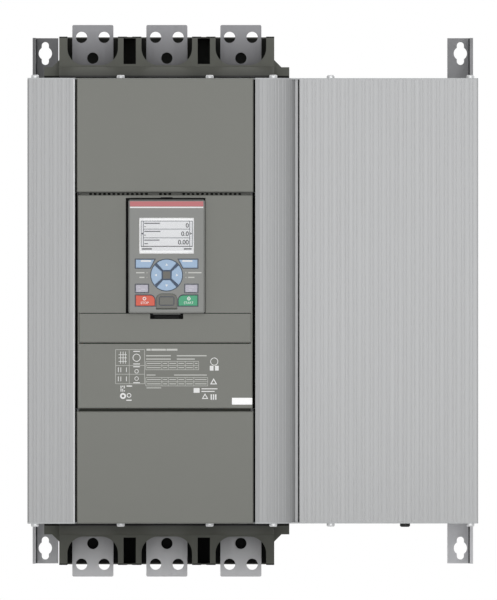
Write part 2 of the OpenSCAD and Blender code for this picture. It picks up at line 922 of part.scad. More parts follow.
module terminal_door() {
  color("grey")
    difference() {
      union() {
        block([door_x0, door_x1], [cover_inner, cover_front],
              [door_axis_z, door_z1 - door_gap]);
        translate([door_x0, -door_axis_d, door_axis_z])
          rotate([0, 90, 0])
            cylinder(h = door_x1 - door_x0, r = barrel_r);
        translate([mid_x0 + fit, -door_axis_d, door_axis_z])
          rotate([0, 90, 0])
            cylinder(h = mid_x1 - mid_x0 - 2 * fit, d = pin_d);
      }
      block([keypad_x - notch_w / 2, keypad_x + notch_w / 2], [cover_inner - 1, cover_front + 1],
            [door_z1 - door_gap - notch_h, door_z1 + 1]);
    }
}

module keypad_holder() {
  bay_x0 = keypad_x - notch_w / 2;
  bay_x1 = keypad_x + notch_w / 2;
  bay_z = door_z1 - door_gap - notch_h;
  t = holder_wall;
  catch_half = 11.8;
  catch_z = [bay_z + 1.2, bay_z + 3];
  socket_w = 14;
  socket_z = keypad_z + keypad_h / 2;
  color("black") {
    block([keypad_x - catch_half, keypad_x + catch_half],
          [holder_floor + 1, holder_floor + holder_t + 8], catch_z);
    difference() {
      union() {
        block([pocket_x0 - t, pocket_x1 + t], [holder_floor, cover_inner],
              [kp_pocket_z0 - t, kp_pocket_z1 + t]);
        block([bay_x0 - t, bay_x1 + t], [holder_floor, cover_inner], [bay_z - t, kp_pocket_z0]);
      }
      block([pocket_x0, pocket_x1], [holder_floor + holder_t, cover_inner + 1],
            [kp_pocket_z0, kp_pocket_z1]);
      block([bay_x0, bay_x1], [holder_floor + holder_t, cover_inner + 1],
            [bay_z, kp_pocket_z0 + 1]);
      block([keypad_x - socket_w / 2, keypad_x + socket_w / 2],
            [holder_floor - 1, holder_floor + holder_t + 1],
            [socket_z - socket_w / 2, socket_z + socket_w / 2]);
    }
  }
}

// Keypad

// An outline drawn in u and v on the keypad, pushed from depth d0 out to depth d1
module on_keypad(d0, d1) {
  translate([keypad_x, 0, keypad_z])
    outward(d0, d1)
      children();
}

// The outline of the keypad, drawn smaller by a margin
module keypad_shape(margin) {
  r = 2;
  w = keypad_w / 2 - margin;
  rect([-w, w], [margin + r, keypad_h - margin - r]);
  rect([r - w, w - r], [margin, keypad_h - margin]);
  for (s = [-1, 1], v = [margin + r, keypad_h - margin - r])
    translate([s * (w - r), v])
      circle(r = r);
}

// A rectangle with round corners, drawn larger by g
module rounded(x, y, r, g) {
  rect([x[0] - g, x[1] + g], [y[0] + r, y[1] - r]);
  rect([x[0] + r, x[1] - r], [y[0] - g, y[1] + g]);
  for (cx = [x[0] + r, x[1] - r], cy = [y[0] + r, y[1] - r])
    translate([cx, cy])
      circle(r = r + g);
}

// Outlines of the keys, each drawn larger by g
module soft_shape(g) {
  polygon([[-key_u - g, soft_v[0] - g], [soft_foot_w - key_u + g, soft_v[0] - g],
           [soft_top_w - key_u + 1.2 * g, soft_v[1] + g], [-key_u - g, soft_v[1] + g]]);
}

module small_shape(g) {
  rounded([-key_u, small_w - key_u], small_v, key_r, g);
}

module big_shape(g) {
  inner = big_w - key_u;
  rect([-key_u - g, inner - big_r], [big_v[0] - g, big_v[1] + g]);
  rect([-key_u - g, inner + g], [big_v[0] - g, big_v[1] - big_r]);
  translate([inner - big_r, big_v[1] - big_r])
    circle(r = big_r + g);
}

// The arrow key that points up; the others are turned copies
module arrow_shape(g) {
  foot = arrow_in - g;
  top = arrow_r + 5;
  side = arrow_foot / 2 + g * sqrt(1 + pow(arrow_flare, 2));
  foot_x = side + arrow_flare * (foot - arrow_in);
  top_x = side + arrow_flare * (top - arrow_in);
  intersection() {
    circle(r = arrow_r + g);
    polygon([[-foot_x, foot], [foot_x, foot], [top_x, top], [-top_x, top]]);
  }
}

module arrow_at(turn, g) {
  translate([0, arrow_v])
    rotate(turn)
      arrow_shape(g);
}

module key_mirror() {
  mirror([1, 0])
    children();
}

module port_shape(g) {
  w = port_u + g;
  rect([-w, w], [port_v[0] - (g > 0 ? 0.5 : 0), port_v[1] - port_r]);
  rect([port_r - port_u, port_u - port_r], [port_v[0], port_v[1] + g]);
  for (s = [-1, 1])
    translate([s * (port_u - port_r), port_v[1] - port_r])
      circle(r = port_r + g);
}

module keypad_bezel() {
  kp_top = keypad_z + keypad_h;
  color("darkgrey")
    difference() {
      intersection() {
        on_keypad(kp_split, kp_front)
          keypad_shape(0);
        upward(keypad_z, kp_top)
          polygon([[kp_left, -kp_split], [kp_left, kp_bevel - kp_front],
                   [kp_left + kp_bevel, -kp_front], [kp_right - kp_bevel, -kp_front],
                   [kp_right, kp_bevel - kp_front], [kp_right, -kp_split]]);
        sideways(kp_left, kp_right)
          polygon([[-kp_split, keypad_z], [-kp_split, kp_top], [kp_bevel - kp_front, kp_top],
                   [-kp_front, kp_top - kp_bevel], [-kp_front, keypad_z + kp_bevel],
                   [kp_bevel - kp_front, keypad_z]]);
      }
      on_keypad(kp_split - 1, inner_wall_d)
        keypad_shape(kp_wall);
      on_keypad(inner_wall_d - 1, kp_front + 1) {
        rect([-window_u - run_fit, window_u + run_fit], [window_v[0] - run_fit, window_v[1] + run_fit]);
        soft_shape(key_fit);
        key_mirror()
          soft_shape(key_fit);
        small_shape(key_fit);
        key_mirror()
          small_shape(key_fit);
        big_shape(key_fit);
        key_mirror()
          big_shape(key_fit);
        translate([0, arrow_v])
          circle(r = ring_r);
        port_shape(key_fit);
      }
      on_keypad(kp_front - header_t, kp_front + 1)
        rect([-header_u, header_u], header_v);
      translate([keypad_x - port_u - 2, -flap_axis_d, keypad_z + flap_axis_v])
        rotate([0, 90, 0])
          cylinder(h = 2 * port_u + 4, d = flap_pin + 2 * run_fit);
    }
}

// The back shell, and the finger lip under the bezel, a moulding of its own
module keypad_back() {
  lip_half = 13.2;
  lip_h = 1.5;
  post_d = 5;
  post_edge = 8;
  plug_w = 10;
  plug_z = keypad_z + keypad_h / 2;
  color("darkgrey") {
    difference() {
      on_keypad(kp_back, kp_split)
        keypad_shape(0.4);
      on_keypad(kp_back + kp_wall, kp_split + 1)
        keypad_shape(0.4 + kp_wall);
    }
    for (s = [-1, 1], v = [post_edge, keypad_h - post_edge])
      translate([0, 0, keypad_z])
        peg(keypad_x + s * (keypad_w / 2 - post_edge), v, kp_back + 1, board_d, post_d);
    block([keypad_x - plug_w / 2, keypad_x + plug_w / 2], [kp_back - 3, kp_back + 1],
          [plug_z - plug_w / 2, plug_z + plug_w / 2]);
    on_keypad(kp_split, cover_front)
      rect([-lip_half, lip_half], [-lip_h, 0]);
  }
}

module display_window() {
  color("lightblue")
    on_keypad(kp_front - window_t, kp_front)
      rect([-window_u, window_u], window_v);
}

module display_panel() {
  over = 0.8;
  color("white")
    on_keypad(board_d + board_t, kp_front - window_t - fit)
      rect([-window_u - over, window_u + over], [window_v[0] - over, window_v[1] + over]);
}

module keypad_board() {
  switch_d = 5;
  m = kp_wall + 0.6;
  arrow_mid = (arrow_in + arrow_r) / 2;
  mids = [[key_u - soft_foot_w / 2, (soft_v[0] + soft_v[1]) / 2],
          [key_u - small_w / 2, (small_v[0] + small_v[1]) / 2],
          [key_u - big_w / 2, (big_v[0] + big_v[1]) / 2]];
  spots = concat([for (m = mids, s = [-1, 1]) [s * m[0], m[1]]],
                 [for (s = [-1, 1]) [0, arrow_v + s * arrow_mid]],
                 [for (s = [-1, 1]) [s * arrow_mid, arrow_v]]);
  color("darkgreen")
    union() {
      on_keypad(board_d, board_d + board_t)
        rect([m - keypad_w / 2, keypad_w / 2 - m], [m, keypad_h - m]);
      for (p = spots)
        peg(keypad_x + p[0], keypad_z + p[1], board_d + 0.5, switch_top, switch_d);
      on_keypad(board_d + 0.5, inner_wall_d - 0.6)
        rect([-4, 4], [9.5, 13.5]);
    }
}

module header_strip() {
  color("indianred")
    on_keypad(kp_front - header_t, kp_front)
      rect([-header_u, header_u], header_v);
}

module arrow_ring() {
  sunk = 0.6;
  c = centre_w / 2;
  color("darkslategrey")
    union() {
      on_keypad(inner_wall_d, kp_front - sunk)
        difference() {
          translate([0, arrow_v])
            circle(r = ring_r - run_fit);
          for (a = [0 : 90 : 270])
            arrow_at(a, key_fit);
        }
      on_keypad(kp_front - sunk - 0.5, kp_front)
        translate([0, arrow_v])
          rect([-c, c], [-c, c]);
    }
}

// One key: its cap, and the flange that keeps it behind the bezel
module key(name) {
  on_keypad(key_flange - key_flange_t, kp_front + key_proud)
    key_shape(name, 0);
  on_keypad(key_flange - key_flange_t, key_flange)
    key_shape(name, key_grow);
}

module key_shape(name, g) {
  if (name == "left_soft")
    soft_shape(g);
  if (name == "right_soft")
    key_mirror()
      soft_shape(g);
  if (name == "up")
    arrow_at(0, g);
  if (name == "left")
    arrow_at(90, g);
  if (name == "down")
    arrow_at(180, g);
  if (name == "right")
    arrow_at(270, g);
  if (name == "info")
    small_shape(g);
  if (name == "mode")
    key_mirror()
      small_shape(g);
  if (name == "stop")
    big_shape(g);
  if (name == "start")
    key_mirror()
      big_shape(g);
}

module left_soft_key() {
  color("lightsteelblue")
    key("left_soft");
}

module right_soft_key() {
  color("lightsteelblue")
    key("right_soft");
}

module up_key() {
  color("lightsteelblue")
    key("up");
}

module down_key() {
  color("lightsteelblue")
    key("down");
}

module left_key() {
  color("lightsteelblue")
    key("left");
}

module right_key() {
  color("lightsteelblue")
    key("right");
}

module info_key() {
  color("lavender")
    key("info");
}

module mode_key() {
  color("lavender")
    key("mode");
}

module stop_key() {
  color("tomato")
    key("stop");
}

module start_key() {
  color("mediumseagreen")
    key("start");
}

// The flap over the service port, with its hinge pins
module port_cover() {
  flap_front = kp_front + 0.4;
  field_u = 6.6;
  field_v = [flap_axis_v + 2.8, flap_axis_v + 10];
  field_r = 1;
  groove_w = 0.9;
  groove_t = 0.7;
  color("darkgrey")
    union() {
      difference() {
        on_keypad(inner_wall_d, flap_front)
          difference() {
            port_shape(0);
            rect([-port_u - 1, port_u + 1], [0, flap_axis_v]);
          }
        on_keypad(flap_front - groove_t, flap_front + 1)
          difference() {
            rounded([-field_u, field_u], field_v, field_r, groove_w);
            rounded([-field_u, field_u], field_v, field_r, 0);
          }
      }
      translate([keypad_x - port_u, -flap_axis_d, keypad_z + flap_axis_v])
        rotate([0, 90, 0])
          cylinder(h = 2 * port_u, r = flap_r);
      translate([keypad_x - port_u - 1.5, -flap_axis_d, keypad_z + flap_axis_v])
        rotate([0, 90, 0])
          cylinder(h = 2 * port_u + 3, d = flap_pin);
    }
}

// Control electronics

module control_board() {
  board_edge = 5;
  w = post_x + board_edge;
  socket_z = keypad_z + keypad_h / 2;
  socket_w = 9;
  socket_in = 5.5;
  can_d = 14;
  can_l = 20;
  can_pitch = 18;
  can_in = 24;
  can_x = cover_cx - w + can_in;
  supply = [40, 28, 36];
  supply_in = 19;
  supply_x = cover_cx + w - supply_in - supply[0];
  chip = 26;
  color("darkgreen")
    union() {
      block([cover_cx - w, cover_cx + w], [control_d, control_d + board_t],
            [post_zs[1] - board_edge, post_zs[0] + board_edge]);
      difference() {
        block([keypad_x - socket_w, keypad_x + socket_w], [control_d + 0.5, holder_floor - fit],
              [socket_z - socket_w, socket_z + socket_w]);
        block([keypad_x - socket_in, keypad_x + socket_in], [control_d + 3, holder_floor],
              [socket_z - socket_in, socket_z + socket_in]);
      }
      for (i = [0 : 3])
        peg(can_x + i * can_pitch, post_zs[1] + 6, control_d - can_l, control_d + 0.5, can_d);
      block([supply_x, supply_x + supply[0]], [control_d - supply[1], control_d + 0.5],
            [post_zs[1] + 2, post_zs[1] + 2 + supply[2]]);
      block([cover_cx - chip, cover_cx], [control_d - 2.5, control_d + 0.5],
            [-chip / 2, chip / 2]);
    }
}

module terminal_strip() {
  way = 7.5;
  strip_t = 20;
  ways = floor((mid_x1 - mid_x0 - 2 * cover_side) / way) - 2;
  x0 = cover_cx - way * ways / 2;
  top_d = control_d + board_t + strip_t;
  color("seagreen")
    difference() {
      block([x0, x0 + way * ways], [control_d + board_t, top_d], strip_z);
      for (i = [0 : ways - 1]) {
        peg(x0 + (i + 0.5) * way, strip_z[1] - 5, top_d - 3, top_d + 1, 4.4);
        block([x0 + (i + 0.5) * way - 2.2, x0 + (i + 0.5) * way + 2.2], [top_d - 8, top_d + 1],
              [strip_z[0] + 2, strip_z[0] + 6.5]);
      }
    }
}

// Power stage

module heat_sink(pole) {
  base_h = 15;
  fins = 9;
  pitch = (sink_w - fin_t) / (fins - 1);
  color("lightslategrey")
    translate([poles[pole], 0, 0])
      upward(sink_z[0], sink_z[1])
        union() {
          rect([-sink_w / 2, sink_w / 2], [-sink_front, base_h - sink_front]);
          for (i = [0 : fins - 1])
            translate([i * pitch - sink_w / 2, -sink_front])
              rect([0, fin_t], [base_h - 1, sink_depth]);
        }
}

module heat_sink_1() {
  heat_sink(0);
}

module heat_sink_2() {
  heat_sink(1);
}

module heat_sink_3() {
  heat_sink(2);
}

module thyristors() {
  r = puck_d / 2;
  pole_r = puck_d / 3;
  step = 2;
  collar = 3;
  color("whitesmoke")
    for (x = poles, z = puck_zs)
      translate([x, -sink_front, z])
        rotate([90, 0, 0])
          rotate_extrude()
            polygon([[0, 0], [pole_r, 0], [pole_r, step], [r, step], [r, puck_t * 0.3],
                     [r - collar, puck_t * 0.3], [r - collar, puck_t * 0.7], [r, puck_t * 0.7],
                     [r, puck_t - step], [pole_r, puck_t - step], [pole_r, puck_t],
                     [0, puck_t]]);
}

module current_transformers() {
  m = 13;
  side = 11;
  w = bar_w / 2 + side;
  foot = fan_z + fan_t + transformer_gap;
  z = [foot, foot + transformer_h];
  color("navy")
    for (x = poles)
      difference() {
        block([x - w, x + w], [bar_depth - m, bar_front + m], z);
        block([x - bar_w / 2 - bar_fit, x + bar_w / 2 + bar_fit],
              [bar_depth - bar_fit, bar_front + bar_fit], [z[0] - 1, z[1] + 1]);
      }
}

module fan_housing(i) {
  color("black")
    translate([fan_xs[i], -fan_d, fan_z])
      union() {
        difference() {
          translate([0, 0, fan_t / 2])
            cube([fan_w, fan_w, fan_t], center = true);
          translate([0, 0, -1])
            cylinder(h = fan_t + 2, d = fan_bore);
        }
        difference() {
          union() {
            cylinder(h = spoke_t, d = hub_d);
            for (a = [45, 135])
              rotate([0, 0, a])
                translate([0, 0, spoke_t / 2])
                  cube([fan_w - 4, 5, spoke_t], center = true);
          }
          translate([0, 0, -1])
            cylinder(h = spoke_t + 2, d = shaft_d + 2 * run_fit);
        }
      }
}

module fan_rotor(i) {
  hub_h = fan_t - spoke_t - 8;
  blade_l = fan_bore / 2 - hub_d / 2 - 1;
  color("dimgrey")
    translate([fan_xs[i], -fan_d, fan_z + spoke_t + fit])
      union() {
        cylinder(h = hub_h, d = hub_d);
        translate([0, 0, -spoke_t])
          cylinder(h = spoke_t + 1, d = shaft_d);
        for (b = [0 : blade_n - 1])
          rotate([0, 0, b * 360 / blade_n])
            translate([hub_d / 2 - 2, 0, hub_h / 2])
              rotate([35, 0, 0])
                translate([0, -14, -1])
                  cube([blade_l, 28, 2]);
      }
}

module fan_1_housing() {
  fan_housing(0);
}

module fan_1_rotor() {
  fan_rotor(0);
}

module fan_2_housing() {
  fan_housing(1);
}

module fan_2_rotor() {
  fan_rotor(1);
}

// Bypass contactor

module bypass_core() {
  w = core_w / 2;
  color("slategrey")
    upward(bypass_z - core_h / 2, bypass_z + core_h / 2)
      union() {
        rect([core_x - w, core_x + w], [-base_t - yoke_t, -base_t]);
        for (x = [[-w, leg_w - w], [-mid_leg_w / 2, mid_leg_w / 2], [w - leg_w, w]])
          rect([core_x + x[0], core_x + x[1]], [-core_front, 1 - base_t - yoke_t]);
      }
}

module bypass_coil() {
  w = core_w / 2 - leg_w - 1;
  wind = 3;
  d = [base_t + yoke_t, core_front - 10];
  z = core_h / 2 + 22;
  color("saddlebrown")
    difference() {
      union() {
        block([core_x - w, core_x + w], [d[0], d[0] + 4], [bypass_z - z, bypass_z + z]);
        block([core_x - w, core_x + w], [d[1] - 4, d[1]], [bypass_z - z, bypass_z + z]);
        block([core_x - w + wind, core_x + w - wind], d,
              [bypass_z - z + wind, bypass_z + z - wind]);
      }
      block([core_x - mid_leg_w / 2 - bar_fit, core_x + mid_leg_w / 2 + bar_fit],
            [d[0] - 1, d[1] + 1],
            [bypass_z - core_h / 2 - bar_fit, bypass_z + core_h / 2 + bar_fit]);
    }
}

module bypass_armature() {
  color("slategrey")
    block([core_x - core_w / 2, core_x + core_w / 2], [crossbar_d - armature_t, crossbar_d],
          [bypass_z - core_h / 2, bypass_z + core_h / 2]);
}

module bypass_crossbar() {
  over = 7.3;
  color("dimgrey")
    difference() {
      block([rod_xs[0] - over, rod_xs[1] + over], [crossbar_d, crossbar_d + crossbar_t],
            [bypass_z - crossbar_h / 2, bypass_z + crossbar_h / 2]);
      for (x = rod_xs)
        peg(x, bypass_z, crossbar_d - 1, crossbar_d + crossbar_t + 1, rod_d + 2 * run_fit);
    }
}

module contact_bridges() {
  w = 17;
  reach = contact_reach + contact_over;
  color("peru")
    for (x = poles)
      union() {
        block([x - w, x + w], [bridge_d, bridge_d + bridge_t], [bypass_z - reach, bypass_z + reach]);
        for (s = [-1, 1])
          peg(x, bypass_z + s * contact_reach, bridge_d - button_h, bridge_d + 1, button_d);
      }
}

module guide_rods() {
  stop_d = crossbar_d + crossbar_t + fit;
  color("silver")
    for (x = rod_xs)
      union() {
        peg(x, bypass_z, base_t, stop_d + 5, rod_d);
        peg(x, bypass_z, stop_d, stop_d + 5, rod_head);
      }
}

mounting_plate();
left_profile();
right_profile();
box_profile();
left_side_panel();
right_side_panel();
box_frame();
top_plate();
bottom_plate();
top_screws();
bottom_screws();
cable_plug();
line_shroud();
load_shroud();
line_busbar_1();
line_busbar_2();
line_busbar_3();
load_busbar_1();
load_busbar_2();
load_busbar_3();
top_cover();
middle_cover();
bottom_cover();
terminal_door();
keypad_holder();
keypad_bezel();
keypad_back();
display_window();
display_panel();
keypad_board();
header_strip();
arrow_ring();
left_soft_key();
right_soft_key();
up_key();
down_key();
left_key();
right_key();
info_key();
mode_key();
stop_key();
start_key();
port_cover();
control_board();
terminal_strip();
heat_sink_1();
heat_sink_2();
heat_sink_3();
thyristors();
fan_1_housing();
fan_1_rotor();
fan_2_housing();
fan_2_rotor();
bypass_core();
bypass_coil();
bypass_armature();
bypass_crossbar();
contact_bridges();
current_transformers();
guide_rods();
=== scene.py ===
# %% [markdown]
# # Dressing a soft starter
# A soft starter brings a large motor up to speed gently. This one hangs on a wall: a ribbed
# aluminium front, grey plastic covers, a keypad, and heavy busbars above and below.
# Its solids are already modelled at their real size, so this lesson only adds what solids can't
# show: finishes, printing, small screws, light and a camera. Everything is in metres.

# %% Load the solids
import json
import math
import bmesh
import bpy
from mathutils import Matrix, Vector


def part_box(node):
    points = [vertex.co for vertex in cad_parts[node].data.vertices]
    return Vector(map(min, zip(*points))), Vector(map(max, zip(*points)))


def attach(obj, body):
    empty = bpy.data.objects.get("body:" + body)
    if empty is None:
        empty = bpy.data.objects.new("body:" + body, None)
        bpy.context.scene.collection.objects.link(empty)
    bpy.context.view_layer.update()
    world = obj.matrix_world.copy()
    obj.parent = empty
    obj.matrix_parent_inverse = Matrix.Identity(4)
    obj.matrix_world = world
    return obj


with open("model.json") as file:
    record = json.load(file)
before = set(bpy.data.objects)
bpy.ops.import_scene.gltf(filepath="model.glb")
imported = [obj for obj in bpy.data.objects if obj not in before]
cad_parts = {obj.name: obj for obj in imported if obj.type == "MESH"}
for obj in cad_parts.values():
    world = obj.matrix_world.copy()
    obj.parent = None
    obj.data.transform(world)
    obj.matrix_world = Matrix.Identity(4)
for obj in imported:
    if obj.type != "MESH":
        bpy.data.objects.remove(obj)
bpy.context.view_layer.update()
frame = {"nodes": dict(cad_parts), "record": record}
solids = frame["nodes"]
MM = 0.001

# %% [markdown]
# ## Camera
# The picture is taken straight from the front, from so far away that the sides don't show.
# An orthographic camera would do the same, but a very long lens also works when the camera is
# moved round the object later. Its distance follows from the height that the picture covers.

# %% Camera
LENS = 1380
SENSOR = 36
PICTURE_H = 0.5805
middle = Vector((-0.00426, -0.305, 0.00077))
bpy.ops.object.select_all(action="DESELECT")
bpy.ops.object.camera_add(rotation=(math.pi / 2, 0, 0))
camera = bpy.context.object
camera.name = "front_camera"
camera.data.lens = LENS
camera.data.sensor_width = SENSOR
camera.location = middle - Vector((0, PICTURE_H * LENS / SENSOR, 0))
camera.data.clip_end = 80
bpy.context.scene.camera = camera
print("camera distance:", round((camera.location - middle).length, 2), "m")

# %% [markdown]
# ## Lamps
# Product pictures use large soft lamps. One big soft box stands in front, a little to the right,
# and weaker ones behind, beside and above keep the other sides readable.

# %% Lamps
scene = bpy.context.scene
scene.view_settings.view_transform = "Standard"


def soft_box(name, place, size, watts):
    """A square area lamp that looks at the middle of the object."""
    bpy.ops.object.select_all(action="DESELECT")
    bpy.ops.object.light_add(type="AREA", location=place)
    lamp = bpy.context.object
    lamp.name = name
    lamp.data.shape = "SQUARE"
    lamp.data.size = size
    lamp.data.energy = watts
    lamp.rotation_euler = (middle - Vector(place)).to_track_quat("-Z", "Y").to_euler()
    lamp.visible_camera = False
    return lamp


lamps = [soft_box("front_lamp", (0.3, -3.4, -0.05), 3.6, 61),
         soft_box("back_lamp", (0.9, 3.2, 1.6), 3.0, 36),
         soft_box("left_lamp", (-2.8, 2.2, 1.0), 2.4, 10),
         soft_box("right_lamp", (2.8, 2.4, 1.0), 2.4, 10),
         soft_box("top_lamp", (0.2, 0.8, 3.0), 2.0, 12)]
print("lamps:", [lamp.name for lamp in lamps])

# %% [markdown]
# ## Background
# The world gives an even glow. What the camera and mirror-like faces see of it is plain white, by
# way of Light Path, so the background is white and yet adds no light of its own. The small
# helpers each add one node and hand back its output, which keeps the wiring readable.

# %% Background
GLOW = 0.32


def feed(tree, socket, value):
    """Sets an input to a number, or links it to the output of another node."""
    if isinstance(value, (int, float)):
        socket.default_value = value
    else:
        tree.links.new(value, socket)


def maths(tree, operation, a, b):
    """One Math node; a and b are sockets or numbers."""
    node = tree.nodes.new("ShaderNodeMath")
    node.operation = operation
    feed(tree, node.inputs[0], a)
    feed(tree, node.inputs[1], b)
    return node.outputs[0]


def mixed(tree, fac, first, second):
    """One Mix Shader node between two shader outputs."""
    node = tree.nodes.new("ShaderNodeMixShader")
    for socket, value in zip(node.inputs, (fac, first, second)):
        tree.links.new(value, socket)
    return node.outputs[0]


def backdrop(tree, strength):
    """A plain white Background node."""
    node = tree.nodes.new("ShaderNodeBackground")
    node.inputs["Color"].default_value = (1, 1, 1, 1)
    node.inputs["Strength"].default_value = strength
    return node.outputs[0]


world = bpy.data.worlds.new("studio")
scene.world = world
world.use_nodes = True
tree = world.node_tree
tree.nodes.clear()
path = tree.nodes.new("ShaderNodeLightPath").outputs
seen = maths(tree, "MAXIMUM", path["Is Camera Ray"], path["Is Transmission Ray"])
seen = maths(tree, "MAXIMUM", seen, path["Is Glossy Ray"])
sky = mixed(tree, seen, backdrop(tree, GLOW), backdrop(tree, 1.0))
tree.links.new(sky, tree.nodes.new("ShaderNodeOutputWorld").inputs["Surface"])
print("world:", world.name, "with", len(tree.nodes), "nodes")

# %% [markdown]
# ## Floor
# A wide sheet lies a little below the lower busbars and takes the soft shadow. Its finish
# follows further down.

# %% Floor
FLOOR_Z = -0.325
bpy.ops.object.select_all(action="DESELECT")
bpy.ops.mesh.primitive_plane_add(size=3.0, location=(0, 0, FLOOR_Z))
floor = bpy.context.object
floor.name = "studio_floor"
bpy.ops.object.transform_apply(location=True, rotation=True, scale=True)
print("floor at height", FLOOR_Z, "m")

# %% [markdown]
# ## Effects that several finishes share
# A shader node group is a recipe with named inputs. Each one below reads Object coordinates, so
# its grain has the same real size on every piece, and puts out a colour, a roughness and a
# height. The materials then join these to a Principled shader and a Bump node.


# %% New node groups
def group_ends(group):
    """The sockets that a recipe takes in and those that it puts out."""
    return group.nodes.new("NodeGroupInput").outputs, group.nodes.new("NodeGroupOutput").inputs


def new_group(name, inputs):
    """An empty recipe with the three outputs that every finish uses."""
    group = bpy.data.node_groups.new(name, "ShaderNodeTree")
    for label, kind, value in inputs:
        group.interface.new_socket(label, in_out="INPUT", socket_type=kind).default_value = value
    group.interface.new_socket("Colour", in_out="OUTPUT", socket_type="NodeSocketColor")
    group.interface.new_socket("Roughness", in_out="OUTPUT", socket_type="NodeSocketFloat")
    group.interface.new_socket("Height", in_out="OUTPUT", socket_type="NodeSocketFloat")
    return group, *group_ends(group)


print("group helpers ready")

# %% [markdown]
# The recipes are built from a few kinds of node: a place, a noise, a stretch and a change of
# lightness. Each kind gets a helper, and the last one joins a recipe's three outputs.


# %% Helpers for recipes
def object_place(tree):
    """Object coordinates, in metres from the piece's own origin."""
    return tree.nodes.new("ShaderNodeTexCoord").outputs["Object"]


def noise(tree, place, scale, detail):
    """A Noise texture at a place; its scale is a socket or a number."""
    node = tree.nodes.new("ShaderNodeTexNoise")
    node.inputs["Detail"].default_value = detail
    tree.links.new(place, node.inputs["Vector"])
    feed(tree, node.inputs["Scale"], scale)
    return node.outputs["Fac"]


def stretched(tree, place, by):
    """Coordinates scaled by a vector socket, for streaks and lines."""
    node = tree.nodes.new("ShaderNodeVectorMath")
    node.operation = "MULTIPLY"
    tree.links.new(place, node.inputs[0])
    tree.links.new(by, node.inputs[1])
    return node.outputs[0]


def shaded(tree, colour, change):
    """The colour made lighter or darker by a socket that runs around 1."""
    node = tree.nodes.new("ShaderNodeHueSaturation")
    tree.links.new(colour, node.inputs["Color"])
    tree.links.new(change, node.inputs["Value"])
    return node.outputs["Color"]


def around(tree, fac, middle_value, swing):
    """A value from 0 to 1 turned into one round middle_value that is swing wide."""
    spread = maths(tree, "MULTIPLY", maths(tree, "SUBTRACT", fac, 0.5), swing)
    return maths(tree, "ADD", spread, middle_value)


def put_out(group, inp, out, tone, contrast, wear, swing, height):
    """Joins a recipe's outputs: tone changes the colour and wear the roughness."""
    lighter = around(group, tone, 1.0, contrast)
    group.links.new(shaded(group, inp["Colour"], lighter), out["Colour"])
    group.links.new(around(group, wear, inp["Roughness"], swing), out["Roughness"])
    group.links.new(height, out["Height"])
    print("group:", group.name)


print("recipe helpers ready")

# %% [markdown]
# ### Moulded plastic
# The covers, shrouds and keys come from moulds with a spark-eroded surface: tiny even pits that
# break up reflections, and a very faint unevenness of colour over centimetres. A fine noise
# drives the height and a coarse one the colour.

# %% Moulded grain
moulded, inp, out = new_group("moulded_grain", [
    ("Colour", "NodeSocketColor", (0.5, 0.5, 0.5, 1)),
    ("Roughness", "NodeSocketFloat", 0.5),
    ("Grain", "NodeSocketFloat", 1500.0),
    ("Mottle", "NodeSocketFloat", 0.08)])
place = object_place(moulded)
cloud = noise(moulded, place, scale=22.0, detail=4)
pits = noise(moulded, place, scale=inp["Grain"], detail=2)
put_out(moulded, inp, out, tone=cloud, contrast=inp["Mottle"], wear=pits, swing=0.25, height=pits)

# %% [markdown]
# ### Drawn metal
# Extruded profiles, busbars and ground rods carry fine lines along the way they were drawn.
# Noise on stretched coordinates gives such lines; the stretch is an input, because the profiles
# run up and down while a sheet may be brushed across.

# %% Drawn metal
drawn, inp, out = new_group("drawn_metal", [
    ("Colour", "NodeSocketColor", (0.7, 0.7, 0.7, 1)),
    ("Roughness", "NodeSocketFloat", 0.4),
    ("Stretch", "NodeSocketVector", (900.0, 900.0, 6.0)),
    ("Streak", "NodeSocketFloat", 0.12)])
place = object_place(drawn)
lines = noise(drawn, stretched(drawn, place, inp["Stretch"]), scale=1.0, detail=3)
cloud = noise(drawn, place, scale=14.0, detail=3)
both = maths(drawn, "MULTIPLY", maths(drawn, "ADD", lines, cloud), 0.5)
put_out(drawn, inp, out, tone=both, contrast=inp["Streak"], wear=lines, swing=0.3, height=lines)

# %% [markdown]
# ### Zinc-plated sheet
# The mounting plate, side panels and end plates are zinc-plated steel. Zinc sets in small
# crystals that catch the light differently. Voronoi cells with a random shade each, softened by
# noise, look like that.

# %% Zinc crystals
zinc, inp, out = new_group("zinc_crystals", [
    ("Colour", "NodeSocketColor", (0.6, 0.6, 0.6, 1)),
    ("Roughness", "NodeSocketFloat", 0.45),
    ("Cells", "NodeSocketFloat", 160.0),
    ("Contrast", "NodeSocketFloat", 0.1)])
place = object_place(zinc)
cells = zinc.nodes.new("ShaderNodeTexVoronoi")
zinc.links.new(place, cells.inputs["Vector"])
zinc.links.new(inp["Cells"], cells.inputs["Scale"])
split = zinc.nodes.new("ShaderNodeSeparateColor")
zinc.links.new(cells.outputs["Color"], split.inputs["Color"])
softer = maths(zinc, "ADD", split.outputs[0], noise(zinc, place, scale=40.0, detail=4))
crystal = maths(zinc, "MULTIPLY", softer, 0.5)
grain = noise(zinc, place, scale=700.0, detail=2)
put_out(zinc, inp, out, tone=crystal, contrast=inp["Contrast"], wear=crystal, swing=0.2,
        height=grain)
